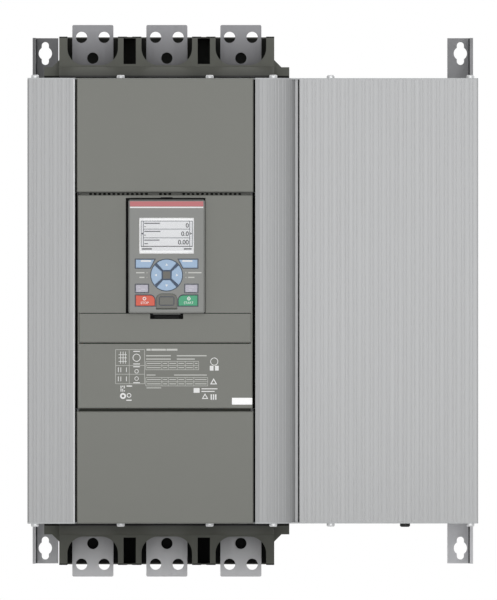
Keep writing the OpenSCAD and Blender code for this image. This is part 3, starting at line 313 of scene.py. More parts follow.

# %% [markdown]
# ### Painted light and shade
# The next recipes paint light and shade into the colour, by place alone. The grooves of a profile
# lie deeper than the face and would look like dark scratches, so a painted highlight brightens
# them, and a fainter painted highlight runs along the middle of each ridge. This one counts ribs
# from the left and knows the profile's two outer edges: beyond the right one it paints a highlight
# on the lip, and beside the left one painted shade.


# %% Painted light of the ribs
def tone_group(name, inputs):
    """An empty recipe for one painted change of lightness, and the place where it is asked."""
    group = bpy.data.node_groups.new(name, "ShaderNodeTree")
    for label, value in inputs:
        socket = group.interface.new_socket(label, in_out="INPUT", socket_type="NodeSocketFloat")
        socket.default_value = value
    group.interface.new_socket("Change", in_out="OUTPUT", socket_type="NodeSocketFloat")
    apart = group.nodes.new("ShaderNodeSeparateXYZ")
    group.links.new(object_place(group), apart.inputs[0])
    return group, apart.outputs, *group_ends(group)


RIB_PITCH = 8.0 * MM
RIB_PAIR = 3.0 * MM
RIDGE = 5.5 * MM
RIB_HALF = 0.55 * MM
FACE_Y = -0.3735
BRIGHT_EDGE = 0.9
DARK_EDGE = -0.45
ribs, place, inp, out = tone_group("rib_painted_light", [
    ("Start", 0.0), ("Groove", 0.15), ("Ridge", 0.06), ("Left edge", -1.0), ("Right edge", 1.0)])


def stripe(shift):
    """1 in the middle of a line that comes again at every rib, 0 beside it."""
    off = maths(ribs, "SUBTRACT", maths(ribs, "SUBTRACT", place["X"], inp["Start"]), shift)
    away = maths(ribs, "DIVIDE", maths(ribs, "PINGPONG", off, RIB_PITCH / 2), RIB_HALF)
    return maths(ribs, "MAXIMUM", maths(ribs, "SUBTRACT", 1.0, away), 0.0)


# Painted highlights along each pair of grooves and along the middle of each ridge.
pair = maths(ribs, "ADD", stripe(0.0), stripe(RIB_PAIR))
lines = maths(ribs, "ADD", maths(ribs, "MULTIPLY", pair, inp["Groove"]),
              maths(ribs, "MULTIPLY", stripe(RIDGE), inp["Ridge"]))
# A painted highlight on the lip beyond the right edge, painted shade beside the left edge.
beyond = maths(ribs, "MULTIPLY", maths(ribs, "GREATER_THAN", place["X"], inp["Right edge"]),
               maths(ribs, "LESS_THAN", place["Y"], FACE_Y))
before = maths(ribs, "LESS_THAN", place["X"], inp["Left edge"])
rims = maths(ribs, "ADD", maths(ribs, "MULTIPLY", beyond, BRIGHT_EDGE),
             maths(ribs, "MULTIPLY", before, DARK_EDGE))
both = maths(ribs, "ADD", lines, rims)
ribs.links.new(maths(ribs, "ADD", both, 1.0), out["Change"])
print("group:", ribs.name)

# %% [markdown]
# ### Painted light on the ears
# The ears get painted light and shade: paler at the foot and to the right, darker at the top left,
# where the enclosure and the shrouds shade them. Only the ears themselves lie so far up and down,
# and only their front, not the back of the plate, gets the painted light.

# %% Painted light on the ears
EAR_FRONT_Y = -0.0015
ears, place, inp, out = tone_group("ear_painted_light", [
    ("Middle", 1.7), ("Across", 1.0), ("Up", -3.0), ("From", 0.2155)])
lean = maths(ears, "ADD", maths(ears, "MULTIPLY", place["X"], inp["Across"]),
             maths(ears, "MULTIPLY", place["Z"], inp["Up"]))
full = maths(ears, "SUBTRACT", maths(ears, "ADD", lean, inp["Middle"]), 1.0)
outside = maths(ears, "MULTIPLY",
                maths(ears, "GREATER_THAN", maths(ears, "ABSOLUTE", place["Z"], 0.0), inp["From"]),
                maths(ears, "LESS_THAN", place["Y"], EAR_FRONT_Y))
ears.links.new(maths(ears, "ADD", maths(ears, "MULTIPLY", full, outside), 1.0), out["Change"])
print("group:", ears.name)

# %% [markdown]
# ### Painted shade of the shrouds
# The shrouds lie behind the covers. Their pockets and slots, the foot of their slope and the strip
# just above the covers get painted shade, darker than the face, and a dark line of painted shade
# runs along the outer rim. Depth is counted from the wall and height from the middle, so both
# shrouds share the recipe.


# %% Painted shade of the shrouds
def ramp(tree, value, start, end, low, high):
    """Goes from low to high, sockets or numbers, while a value goes from start to end."""
    node = tree.nodes.new("ShaderNodeMapRange")
    node.inputs["From Min"].default_value = start
    node.inputs["From Max"].default_value = end
    tree.links.new(value, node.inputs["Value"])
    feed(tree, node.inputs["To Min"], low)
    feed(tree, node.inputs["To Max"], high)
    return node.outputs["Result"]


POCKET_BACK = 0.1205
POCKET, POCKET_DARK = (0.160, 0.180), -0.85
RIM_LINE, RIM_DARK = (0.182, 0.183), -0.8
SLOPE = 0.1855, 0.2055
GAP_AT_COVER, GAP_DARK = (0.2186, 0.2192), 0.06
shade, place, inp, out = tone_group("shroud_painted_shade", [
    ("Middle", -0.0838), ("Half", 0.1040), ("Rim", 0.2557), ("Whole", 1.0), ("Foot", 0.33)])
depth = maths(shade, "MULTIPLY", place["Y"], -1.0)
height = maths(shade, "ABSOLUTE", place["Z"], 0.0)
aside = maths(shade, "ABSOLUTE", maths(shade, "SUBTRACT", place["X"], inp["Middle"]), 0.0)
inside = maths(shade, "MULTIPLY", maths(shade, "LESS_THAN", aside, inp["Half"]),
               maths(shade, "LESS_THAN", height, inp["Rim"]))
inside = maths(shade, "MULTIPLY", inside, maths(shade, "GREATER_THAN", depth, POCKET_BACK))
hollow = maths(shade, "MULTIPLY", inside, ramp(shade, depth, *POCKET, POCKET_DARK, 0.0))
rim = maths(shade, "MULTIPLY", maths(shade, "GREATER_THAN", height, inp["Rim"]),
            ramp(shade, depth, *RIM_LINE, 0.0, RIM_DARK))
change = maths(shade, "ADD", maths(shade, "ADD", hollow, rim), inp["Whole"])
slope = maths(shade, "MULTIPLY", ramp(shade, depth, *SLOPE, 1.0, inp["Foot"]),
              ramp(shade, height, *GAP_AT_COVER, GAP_DARK, 1.0))
shade.links.new(maths(shade, "MULTIPLY", change, slope), out["Change"])
print("group:", shade.name)

# %% [markdown]
# ### Painted shade of the bend, the brow and the tips
# Painted shade darkens the right profile where it bends away from the front, the top bevel of the
# keypad's bezel above the red strip, and each busbar towards its root.

# %% Painted shade of the bend, the brow and the tips
BEND = 0.030, 0.0402
BEND_END = 0.0408
ROOT_SHADE_SPAN = 0.222, 0.264
bend, place, inp, out = tone_group("curve_painted_shade", [("Dark", -0.24)])
# Painted shade on the curve of the right profile.
turned = ramp(bend, place["X"], *BEND, 0.0, inp["Dark"])
curved = maths(bend, "MULTIPLY", turned, maths(bend, "LESS_THAN", place["X"], BEND_END))
bend.links.new(maths(bend, "ADD", curved, 1.0), out["Change"])

brow, place, inp, out = tone_group("brow_painted_shade", [("From", 0.0), ("Dark", 0.45)])
# Painted shade on the top bevel of the bezel.
above = maths(brow, "GREATER_THAN", place["Z"], inp["From"])
less = maths(brow, "MULTIPLY", above, maths(brow, "SUBTRACT", inp["Dark"], 1.0))
brow.links.new(maths(brow, "ADD", less, 1.0), out["Change"])

tips, place, inp, out = tone_group("busbar_root_painted_shade", [("Root", 0.4)])
height = maths(tips, "ABSOLUTE", place["Z"], 0.0)
# Painted shade towards the busbar's root, where the pocket of the shroud shades it.
tips.links.new(ramp(tips, height, *ROOT_SHADE_SPAN, inp["Root"], 1.0), out["Change"])
print("groups:", bend.name, brow.name, tips.name)

# %% [markdown]
# ### Layers and turns
# The contactor's core is a stack of thin steel sheets and its coil is wound with wire. Both are
# rows of fine lines in one direction, so one recipe serves both: the place along a given vector
# goes up and down like a row of teeth. The pixels of the display are such lines too.

# %% Layered lines
layered, inp, out = new_group("layered_lines", [
    ("Colour", "NodeSocketColor", (0.3, 0.3, 0.3, 1)),
    ("Roughness", "NodeSocketFloat", 0.5),
    ("Lines", "NodeSocketVector", (0.0, 0.0, 1000.0)),
    ("Depth", "NodeSocketFloat", 0.3)])
place = object_place(layered)
fold = layered.nodes.new("ShaderNodeVectorMath")
fold.operation = "DOT_PRODUCT"
layered.links.new(place, fold.inputs[0])
layered.links.new(inp["Lines"], fold.inputs[1])
ridge = maths(layered, "PINGPONG", fold.outputs["Value"], 1.0)
smear = noise(layered, place, scale=60.0, detail=3)
put_out(layered, inp, out, tone=ridge, contrast=inp["Depth"], wear=smear, swing=0.2, height=ridge)

# %% [markdown]
# ## Finishes
# Each finish is one material: a recipe from above with its own values, a Principled shader and a
# Bump node. Values that are the same all over, such as Metallic, go straight on the shader.
# Colours are written as screen values and turned into the linear values that Blender wants.


# %% One finish
def linear(rgb):
    """Screen values from 0 to 255 as a linear colour."""
    part = [c / 255 for c in rgb]
    return [c / 12.92 if c <= 0.04045 else ((c + 0.055) / 1.055) ** 2.4 for c in part] + [1.0]


RELIEF = 0.2
RELIEF_DEPTH = 0.1 * MM


def finish(name, recipe, rgb, roughness, third, fourth, metallic=0.0, coat=0.0):
    """A material from one recipe; third and fourth are its last two inputs."""
    material = bpy.data.materials.new(name)
    material.use_nodes = True
    tree = material.node_tree
    shader = tree.nodes["Principled BSDF"]
    use = tree.nodes.new("ShaderNodeGroup")
    use.node_tree = recipe
    for socket, value in zip(use.inputs, (linear(rgb), roughness, third, fourth)):
        socket.default_value = value
    relief = tree.nodes.new("ShaderNodeBump")
    relief.inputs["Strength"].default_value = RELIEF
    relief.inputs["Distance"].default_value = RELIEF_DEPTH
    tree.links.new(use.outputs["Colour"], shader.inputs["Base Color"])
    tree.links.new(use.outputs["Roughness"], shader.inputs["Roughness"])
    tree.links.new(use.outputs["Height"], relief.inputs["Height"])
    tree.links.new(relief.outputs["Normal"], shader.inputs["Normal"])
    shader.inputs["Metallic"].default_value = metallic
    shader.inputs["Coat Weight"].default_value = coat
    return material


print("relief depth:", round(RELIEF_DEPTH / MM, 2), "mm")

# %% [markdown]
# ### Finishes of the solids
# Every solid names a slot, and most slots get their finish here: sheet, rubber, plastics, boards
# and the metals inside. UP stretches the grain of drawn metal along the height.

# %% Finishes of the solids
UP = (1900.0, 1900.0, 6.0)
finishes = {
    "panel": finish("zinc_panel", zinc, (184, 186, 187), 0.6, 190.0, 0.08, metallic=0.25),
    "screw": finish("bright_zinc", zinc, (208, 209, 210), 0.35, 500.0, 0.08, metallic=0.5),
    "rubber": finish("black_rubber", moulded, (24, 24, 25), 0.65, 1100.0, 0.1),
    "cover": finish("cover_grey", moulded, (122, 123, 117), 0.5, 1500.0, 0.04),
    "black_plastic": finish("matt_black", moulded, (20, 20, 21), 0.6, 1500.0, 0.1),
    "screen": finish("pale_screen", layered, (234, 235, 237), 0.4, (3000.0, 0.0, 3000.0), 0.02),
    "circuit": finish("green_board", layered, (48, 110, 72), 0.4, (400.0, 0.0, 400.0), 0.25),
    "red_strip": finish("red_strip", moulded, (190, 97, 101), 0.35, 2500.0, 0.04, coat=0.3),
    "ring_blue": finish("ring_navy", moulded, (66, 82, 105), 0.5, 2000.0, 0.06),
    "key_blue": finish("key_blue", moulded, (168, 194, 223), 0.45, 2500.0, 0.04),
    "key_grey": finish("key_lilac", moulded, (193, 191, 203), 0.45, 2500.0, 0.04),
    "key_red": finish("key_red", moulded, (224, 96, 74), 0.45, 2500.0, 0.05),
    "key_green": finish("key_green", moulded, (70, 166, 124), 0.45, 2500.0, 0.05),
    "terminal_green": finish("terminal_green", moulded, (64, 150, 96), 0.45, 1800.0, 0.06),
    "heat_sink": finish("mill_aluminium", drawn, (196, 198, 200), 0.4, UP, 0.14, metallic=0.8),
    "disc_cell": finish("glazed_disc", moulded, (236, 233, 225), 0.2, 300.0, 0.05, coat=0.6),
    "core_steel": finish("core_sheets", layered, (120, 122, 125), 0.45, (0, 0, 1400.0), 0.35,
                         metallic=0.7),
    "winding": finish("varnished_wire", layered, (150, 82, 46), 0.35, (0, 900.0, 0), 0.5, coat=0.5),
    "contact": finish("bare_copper", drawn, (206, 146, 108), 0.35, UP, 0.2, metallic=0.9),
    "transformer": finish("blue_resin", moulded, (44, 66, 130), 0.3, 900.0, 0.08, coat=0.3),
    "rod": finish("ground_steel", drawn, (190, 191, 192), 0.25, (900.0, 6.0, 900.0), 0.1,
                  metallic=0.9),
}
print("finishes:", len(finishes))

# %% [markdown]
# ### The clear lens
# A clear lens lies over the display. Glass that bends light would put the display in its own
# shadow, so the lens is mostly see-through by Alpha and keeps a smooth, shiny surface. A trace
# of grime changes the Alpha a little from place to place.

# %% Clear lens
lens = bpy.data.materials.new("clear_lens")
lens.use_nodes = True
tree = lens.node_tree
shader = tree.nodes["Principled BSDF"]
shader.inputs["Base Color"].default_value = (0.95, 0.97, 1.0, 1)
shader.inputs["Roughness"].default_value = 0.08
grime = noise(tree, object_place(tree), scale=160.0, detail=3)
grime = around(tree, grime, middle_value=0.05, swing=0.04)
tree.links.new(grime, shader.inputs["Alpha"])
finishes["lens"] = lens
print("lens:", lens.name)

# %% [markdown]
# ### Finishes for single pieces
# Some pieces have a finish of their own, because it changes over the piece. The two flat profiles
# get the painted light of their ribs, counted from the first groove; the mounting plate gets the
# painted light and shade of its ears; the lower busbars are painted brighter than the upper ones,
# as painted light from below.


# %% Helpers for single pieces
def toned(material, recipe, **values):
    """Puts a change of lightness by place between a finish's recipe and its shader."""
    tree = material.node_tree
    use = tree.nodes.new("ShaderNodeGroup")
    use.node_tree = recipe
    for label, value in values.items():
        use.inputs[label.replace("_", " ")].default_value = value
    colour = tree.nodes["Principled BSDF"].inputs["Base Color"]
    tree.links.new(shaded(tree, colour.links[0].from_socket, use.outputs["Change"]), colour)
    return material


def dull(material, shine):
    """Takes the gloss of a finish down; plain plastic has a shine of 0.5."""
    material.node_tree.nodes["Principled BSDF"].inputs["Specular IOR Level"].default_value = shine
    return material


def front_metal(name, rgb):
    """The satin of the front profiles in one shade."""
    return finish(name, drawn, rgb, 0.5, UP, 0.05, metallic=0.2)


def tin(name, rgb):
    """Tin on copper in one shade, with painted shade growing darker to the root of the busbar."""
    return toned(finish(name, drawn, rgb, 0.45, UP, 0.16, metallic=0.4), tips)


def shroud_grey(name, **values):
    """The dull grey of a terminal shroud with its own painted shade."""
    plain = finish(name, moulded, (112, 113, 106), 0.6, 1300.0, 0.06)
    return toned(dull(plain, 0.2), shade, **values)


print("helpers for single pieces ready")

# %% [markdown]
# The places of the first groove and of the outer edges are measured from the low corner of each
# profile's box, so they follow the solid.

# %% Finishes for single pieces
LEFT_GROOVE = 5.4 * MM
LEFT_RIM = 1.4 * MM
LEFT_FACE_W = 44.4 * MM
BOX_GROOVE = 4.2 * MM
BROW_H = 1.4 * MM
left_x0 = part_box("left_profile")[0].x
box_x0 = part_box("box_profile")[0].x
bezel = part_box("keypad_bezel")
# Lit and shaded copies of one tin: painted shade on the upper busbars, painted light on the lower.
upper_tin_painted_shade = tin("upper_tin_painted_shade", (142, 142, 145))
lower_tin_painted_light = tin("lower_tin_painted_light", (188, 188, 190))
own = {
    "port_cover": finish("flap_grey", moulded, (108, 108, 102), 0.45, 2200.0, 0.05),
    "keypad_bezel": toned(finish("bezel_silver", moulded, (138, 139, 136), 0.42, 2200.0, 0.05),
                          brow, From=bezel[1].z - BROW_H),
    "keypad_back": finish("back_grey", moulded, (72, 73, 71), 0.5, 1800.0, 0.06),
    # The flat profiles carry the painted light of their ribs and edges.
    "left_profile": toned(front_metal("satin_left", (173, 174, 175)), ribs,
                          Start=left_x0 + LEFT_GROOVE, Left_edge=left_x0 + LEFT_RIM,
                          Right_edge=left_x0 + LEFT_FACE_W),
    # The right profile carries painted shade on its curve.
    "right_profile": toned(front_metal("satin_curve", (173, 174, 175)), bend),
    "box_profile": toned(front_metal("satin_box", (182, 183, 184)), ribs,
                         Start=box_x0 + BOX_GROOVE),
    # Painted shade: the plate's zinc is set darker than the panels', and its ears get painted light
    # and shade by place.
    "mounting_plate": toned(finish("zinc_ears", zinc, (134, 134, 136), 0.55, 150.0, 0.14,
                                   metallic=0.3), ears),
    "line_shroud": shroud_grey("shroud_upper"),
    # The lower shroud gets more painted shade: darker all over and at the foot of its slope.
    "load_shroud": shroud_grey("shroud_lower", Whole=0.82, Foot=0.36),
    **{f"line_busbar_{i}": upper_tin_painted_shade for i in (1, 2, 3)},
    **{f"load_busbar_{i}": lower_tin_painted_light for i in (1, 2, 3)},
}
for part in frame["record"]["subparts"]:
    node = part["node"]
    worn = own[node] if node in own else finishes[part["material_slot"]]
    solids[node].data.materials.clear()
    solids[node].data.materials.append(worn)

# %% [markdown]
# ### The floor
# The studio floor is pale paper. Seen directly it gets a little light of its own, so that it stays
# pale under level lamps and still shows the soft shadow. Shiny faces see it as plain white, like
# the background. Far from the object, and from below, it is see-through, so it has no edge.

# %% Floor finish
OWN_LIGHT = 0.36
FADE = 0.55, 1.4
paper = finish("studio_paper", moulded, (240, 240, 238), 0.7, 60.0, 0.02)
tree = paper.node_tree
lit = tree.nodes["Principled BSDF"].outputs[0]
path = tree.nodes.new("ShaderNodeLightPath").outputs


def glowing(tree, strength):
    """A plain white Emission node."""
    node = tree.nodes.new("ShaderNodeEmission")
    node.inputs["Strength"].default_value = strength
    return node.outputs[0]


paler = tree.nodes.new("ShaderNodeAddShader")
tree.links.new(lit, paler.inputs[0])
tree.links.new(glowing(tree, OWN_LIGHT), paler.inputs[1])
far = tree.nodes.new("ShaderNodeVectorMath")
far.operation = "LENGTH"
tree.links.new(object_place(tree), far.inputs[0])
fade = ramp(tree, far.outputs["Value"], *FADE, 0.0, 1.0)
fade.node.interpolation_type = "SMOOTHSTEP"
below = tree.nodes.new("ShaderNodeNewGeometry").outputs["Backfacing"]
clear = tree.nodes.new("ShaderNodeBsdfTransparent").outputs[0]
shown = mixed(tree, path["Is Camera Ray"], lit, paler.outputs[0])
shown = mixed(tree, path["Is Glossy Ray"], shown, glowing(tree, 1.0))
shown = mixed(tree, maths(tree, "MAXIMUM", fade, below), shown, clear)
tree.links.new(shown, tree.nodes["Material Output"].inputs["Surface"])
floor.data.materials.append(paper)
print("floor dressed:", floor.name)

# %% [markdown]
# ## Printing
# Lines, bars and dots are printed on the keypad and the covers. A picture could carry them, but
# a thin mesh stays sharp at any distance. Each ink gets one mesh per face that carries it. It
# starts empty in edit mode, and at the end it gets its finish and the body that it moves with.


# %% Start and end of a printed piece
def start_piece(name):
    """An empty mesh object at the origin, open in edit mode."""
    bpy.ops.object.select_all(action="DESELECT")
    bpy.ops.mesh.primitive_plane_add(size=1, location=(0, 0, 0))
    piece = bpy.context.object
    piece.name = name
    piece.data.name = name
    bpy.ops.object.mode_set(mode="EDIT")
    bpy.ops.mesh.select_all(action="SELECT")
    bpy.ops.mesh.delete(type="VERT")
    return piece


def end_piece(piece, material, body):
    """Closes edit mode, dresses the piece and lets it ride on a body."""
    bpy.ops.object.mode_set(mode="OBJECT")
    piece.data.materials.append(material)
    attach(piece, body)
    return piece


print("piece helpers ready")

# %% [markdown]
# In between, planes and circles are added and sized, and then extruded together to a film a
# twentieth of a millimetre thick, just proud of the face.

# %% Bars, discs and film
FILM = 0.05 * MM


def add_bar(x0, x1, z0, z1, y):
    """A rectangle that faces the front, added to the mesh in edit mode."""
    at = ((x0 + x1) / 2, y, (z0 + z1) / 2)
    bpy.ops.mesh.select_all(action="DESELECT")
    bpy.ops.mesh.primitive_plane_add(size=1, location=at, rotation=(math.pi / 2, 0, 0))
    bpy.ops.transform.resize(value=(abs(x1 - x0), 1, abs(z1 - z0)), center_override=at)


def add_disc(x, z, r, y, hole=0.0, corners=24, turn=0.0):
    """A disc that faces the front, a ring where a hole is given, or a figure with few corners."""
    bpy.ops.mesh.select_all(action="DESELECT")
    bpy.ops.mesh.primitive_circle_add(vertices=corners, radius=r, fill_type="NGON",
                                      location=(x, y, z), rotation=(math.pi / 2, turn, 0))
    if hole:
        bpy.ops.mesh.inset(thickness=r - hole)
        bpy.ops.mesh.delete(type="FACE")


def thicken():
    """Extrudes all that is drawn towards the front and turns its faces outwards."""
    bpy.ops.mesh.select_all(action="SELECT")
    bpy.ops.mesh.extrude_region_move(TRANSFORM_OT_translate={"value": (0, -FILM, 0)})
    bpy.ops.mesh.select_all(action="SELECT")
    bpy.ops.mesh.normals_make_consistent(inside=False)


def print_marks(name, face_y, material, body, bars=(), discs=()):
    """One ink on one face: bars are x0, x1, z0, z1 and discs x, z, r and shape, in metres."""
    piece = start_piece(name)
    for bar in bars:
        add_bar(*bar, face_y)
    for x, z, r, *shape in discs:
        add_disc(x, z, r, face_y, *shape)
    thicken()
    return end_piece(piece, material, body)


print("film thickness:", round(FILM / MM, 3), "mm")

# %% [markdown]
# ### Inks
# An ink is a finish like the others. The lit border of the display and the panel itself get a
# trace of emission, and so does the white sticker, which is a painted glow since a sticker gives no
# light; so they stay the palest things on the front.

# %% Inks
inks = {
    "white": finish("white_ink", moulded, (251, 251, 250), 0.5, 3000.0, 0.02),
    "dark": finish("dark_ink_and_shade", moulded, (38, 39, 44), 0.5, 3000.0, 0.04),
    "grey": finish("grey_ink", moulded, (92, 94, 100), 0.5, 3000.0, 0.04),
    "pale": finish("pale_ink", moulded, (210, 211, 206), 0.5, 3000.0, 0.04),
    "navy": finish("navy_ink_and_shade", moulded, (70, 76, 90), 0.5, 3000.0, 0.04),
    "boss": finish("boss_grey", moulded, (106, 104, 98), 0.5, 2200.0, 0.05),
    "lilac": finish("lilac_ink", moulded, (212, 210, 220), 0.5, 3000.0, 0.03),
    "paper": finish("sticker_paper", moulded, (254, 254, 254), 0.6, 900.0, 0.01),
    "lit": finish("lit_white", moulded, (253, 253, 253), 0.5, 3000.0, 0.02),
}
# The sticker's emission is a painted glow.
for pale, strength in ((inks["lit"], 0.16), (inks["paper"], 0.2), (finishes["screen"], 0.05)):
    shader = pale.node_tree.nodes["Principled BSDF"]
    shader.inputs["Emission Color"].default_value = (1, 1, 1, 1)
    shader.inputs["Emission Strength"].default_value = strength
print("inks:", list(inks))

# %% [markdown]
# ### What the display shows
# The display is on: a pale field with thin rules, three readings at the right and short lines at
# the left. The marks lie on the panel, behind the lens. Places on the keypad are given as u from
# its middle and v from its foot, in millimetres.

# %% Display
RULE = 0.55
pad_x = (bezel[0].x + bezel[1].x) / 2
pad_z = bezel[0].z
pad_y = bezel[0].y
panel_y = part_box("display_panel")[0].y - FILM


def on_pad(u0, u1, v0, v1):
    """A bar on the keypad, in metres."""
    return (pad_x + u0 * MM, pad_x + u1 * MM, pad_z + v0 * MM, pad_z + v1 * MM)


def rule(u0, u1, v, width=RULE):
    """A thin line across the keypad."""
    return on_pad(u0, u1, v - width / 2, v + width / 2)


def upright(u, v0, v1, width=RULE):
    """A thin line up the keypad."""
    return on_pad(u - width / 2, u + width / 2, v0, v1)


def dot(u, v, r, hole=0.0, *figure):
    """A disc, ring or small figure on the keypad, in metres."""
    return (pad_x + u * MM, pad_z + v * MM, r * MM, hole * MM, *figure)


print_marks("display_rules", panel_y, inks["navy"], "keypad", bars=[
    rule(-24.8, 25.0, 88.9), upright(-24.6, 64.4, 88.9), upright(-22.4, 64.4, 88.9),
    upright(22.25, 64.4, 88.9), upright(24.8, 64.4, 88.9), rule(-22.4, 22.2, 81.1),
    rule(-22.4, 22.2, 72.7)])
print_marks("display_base_rule", panel_y, inks["dark"], "keypad", bars=[
    rule(-24.8, 25.0, 64.5, 0.8)])
print_marks("display_labels", panel_y, inks["grey"], "keypad", bars=[
    rule(-21.6, -6.5, 86.7, 1.0), rule(-21.6, -6.0, 78.9, 1.0), rule(-21.6, -6.8, 70.5, 1.0),
    rule(-21.6, -20.2, 83.4, 0.8), rule(-21.6, -20.2, 75.3, 0.8), rule(-21.6, -18.0, 67.1, 0.8)])
print_marks("display_commands", panel_y, inks["dark"], "keypad", bars=[
    rule(-24.0, -14.2, 62.0, 1.2), rule(16.6, 24.0, 62.0, 1.2)],
    discs=[dot(side * 23.4, 76.8, 1.2, 0, 3, side * math.pi / 2) for side in (-1, 1)])
print_marks("display_border", panel_y, inks["lit"], "keypad", bars=[
    on_pad(-26.9, -25.1, 57.0, 92.6), on_pad(25.3, 26.9, 57.0, 92.6),
    on_pad(-25.1, 25.3, 89.4, 92.6), on_pad(-25.1, 25.3, 57.0, 60.2)])
print("display marks at depth", round(-panel_y / MM, 2), "mm")

# %% [markdown]
# ### Readings
# The three readings are plain numbers. A text object gives their shape; it is made a mesh before
# its place is applied, so that nothing depends on a font later.


# %% Readings
CAPITAL_H = 0.72


def print_word(name, words, u, v, height, face_y, material, body, align="RIGHT", weight=0.0):
    """A short word or number on the keypad, its foot at v; weight makes its strokes bolder."""
    bpy.ops.object.select_all(action="DESELECT")
    bpy.ops.object.text_add(location=(pad_x + u * MM, face_y, pad_z + v * MM),
                            rotation=(math.pi / 2, 0, 0))
    piece = bpy.context.object
    piece.name = name
    piece.data.body = words
    piece.data.align_x = align
    piece.data.size = height * MM / CAPITAL_H
    piece.data.offset = weight * MM
    piece.data.extrude = FILM / 2
    bpy.ops.object.convert(target="MESH")
    piece = bpy.context.object
    bpy.ops.object.transform_apply(location=True, rotation=True, scale=True)
    piece.data.name = name
    piece.data.materials.clear()
    piece.data.materials.append(material)
    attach(piece, body)
    return piece


READING_END, READING_H = 21.4, 4.4
for i, (words, v) in enumerate((("0", 82.6), ("0.0", 74.6), ("0.00", 66.4))):
    print_word(f"reading_{i + 1}", words, READING_END, v, READING_H, panel_y - FILM,
               inks["dark"], "keypad", weight=0.11)

# %% [markdown]
# ### Printing on the keypad's face
# A white rule runs under the red strip, and short pale lines stand beside the status lights.

# %% Keypad printing
print_marks("header_rule", pad_y, inks["white"], "keypad", bars=[
    rule(-35.4, 35.4, 102.1, 1.2)])
print_marks("light_labels", pad_y, inks["pale"], "keypad", bars=[
    rule(-29.4, -21.4, 39.1, 1.1), rule(-26.3, -21.4, 34.6, 1.1),
    rule(20.8, 33.6, 39.1, 1.1), rule(20.8, 26.8, 34.6, 1.1)])
print("keypad face at depth", round(-pad_y / MM, 2), "mm")

# %% [markdown]
# ### Painted shade round the keys
# A dark line of painted shade, for the shadow in the gap round each key, is printed round six of
# the keys. It starts as a plane that is larger than the key.
# One corner is moved for the soft keys or rounded for the large ones, as on the key itself; then
# the face is inset and its middle is deleted, which leaves a ring of even width.


# %% Helpers for surrounds
def pick_corner(piece, u, v):
    """Selects the one corner of the mesh that lies nearest to a place on the keypad."""
    place = Vector((pad_x + u * MM, pad_y, pad_z + v * MM))
    mesh = bmesh.from_edit_mesh(piece.data)
    bpy.ops.mesh.select_all(action="DESELECT")
    nearest = min(mesh.verts, key=lambda vert: (vert.co - place).length)
    nearest.select = True
    mesh.select_flush(True)
    bmesh.update_edit_mesh(piece.data)


def print_surround(name, box, width, face_y, body, lean=0.0, lean_at=None, round_at=None, r=0.0):
    """A ring of ink round box, u0, u1, v0, v1 in millimetres; round a key it is painted shade."""
    piece = start_piece(name)
    add_bar(*on_pad(*box), face_y)
    if lean_at:
        pick_corner(piece, *lean_at)
        bpy.ops.transform.translate(value=(lean * MM, 0, 0))
    if round_at:
        pick_corner(piece, *round_at)
        bpy.ops.mesh.bevel(offset=r * MM, segments=6, affect="VERTICES")
    bpy.ops.mesh.select_all(action="SELECT")
    bpy.ops.mesh.inset(thickness=width * MM)
    bpy.ops.mesh.delete(type="FACE")
    thicken()
    return end_piece(piece, inks["navy"], body)


print("surround helpers ready")

# %% [markdown]
# The keys of the left and right half mirror each other, so one loop draws both halves. The flap of
# the service port gets such a line too, which moves with it, and the middle of the arrow ring a
# small square field.

# %% Key surrounds
KEYS_END = 30.7


def span(side, inner):
    """From the keys' outer end to the inner end of one, left to right on either side."""
    return sorted((side * KEYS_END, side * inner))


SURROUND = 0.65
SOFT_INNER, SOFT_LEAN = 10.3, 5.15
SMALL_INNER = 16.9
BIG_INNER, BIG_ROUND = 10.5, 5.6
FLAP_EDGE = 0.7 * MM
# Painted shade in the gaps round the keys.
for side, soft, small, big in ((-1, "left_soft", "info", "stop"),
                               (1, "right_soft", "mode", "start")):
    print_surround(soft + "_surround", (*span(side, SOFT_INNER), 42.9, 52.7), SURROUND, pad_y,
                   "keypad", lean=side * SOFT_LEAN, lean_at=(side * SOFT_INNER, 42.9))
    print_surround(small + "_surround", (*span(side, SMALL_INNER), 19.3, 28.5), SURROUND, pad_y,
                   "keypad")
    print_surround(big + "_surround", (*span(side, BIG_INNER), 6.3, 18.2), SURROUND, pad_y,
                   "keypad", round_at=(side * BIG_INNER, 18.2), r=BIG_ROUND)
flap_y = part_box("port_cover")[0].y + FLAP_EDGE
print_surround("flap_line", (-7.45, 7.45, 7.35, 16.25), 0.8, flap_y, "port_cover")
print_marks("arrow_boss_field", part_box("arrow_ring")[0].y, inks["boss"], "keypad",
            bars=[on_pad(-3.5, 3.5, 33.3, 40.3)])

# %% [markdown]
# ### Marks on the keys
# Every mark moves with its key. The soft keys have a white line, the arrow keys a small arrow, the
# small keys a faint sign, and the two large ones a sign and a plain word.

# %% Key marks
SOFT_U, SOFT_LINE_HALF = 20.0, 4.9
ARROW_R = 1.4
SIGN_R, SIGN_HOLE = 1.7, 1.0
WORD_H = 2.3
key_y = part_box("stop_key")[0].y
for side, name in ((-1, "left_soft_key"), (1, "right_soft_key")):
    middle_u = side * SOFT_U
    print_marks(name + "_line", key_y, inks["white"], name,
                bars=[rule(middle_u - SOFT_LINE_HALF, middle_u + SOFT_LINE_HALF, 50.4, 1.4)])
for name, u, v, turn in (("up_key", 0, 46.7, 0), ("left_key", -10.1, 36.8, -math.pi / 2),
                         ("right_key", 9.8, 36.8, math.pi / 2), ("down_key", 0, 26.9, math.pi)):
    print_marks(name + "_arrow", key_y, inks["white"], name,
                discs=[dot(u, v, ARROW_R, 0, 3, turn)])
print_marks("info_key_sign", key_y, inks["lilac"], "info_key", bars=[
    rule(-27.6, -25.4, 25.2, 0.9), rule(-24.6, -20.4, 23.2, 0.9), rule(-27.0, -24.8, 22.0, 0.9)])
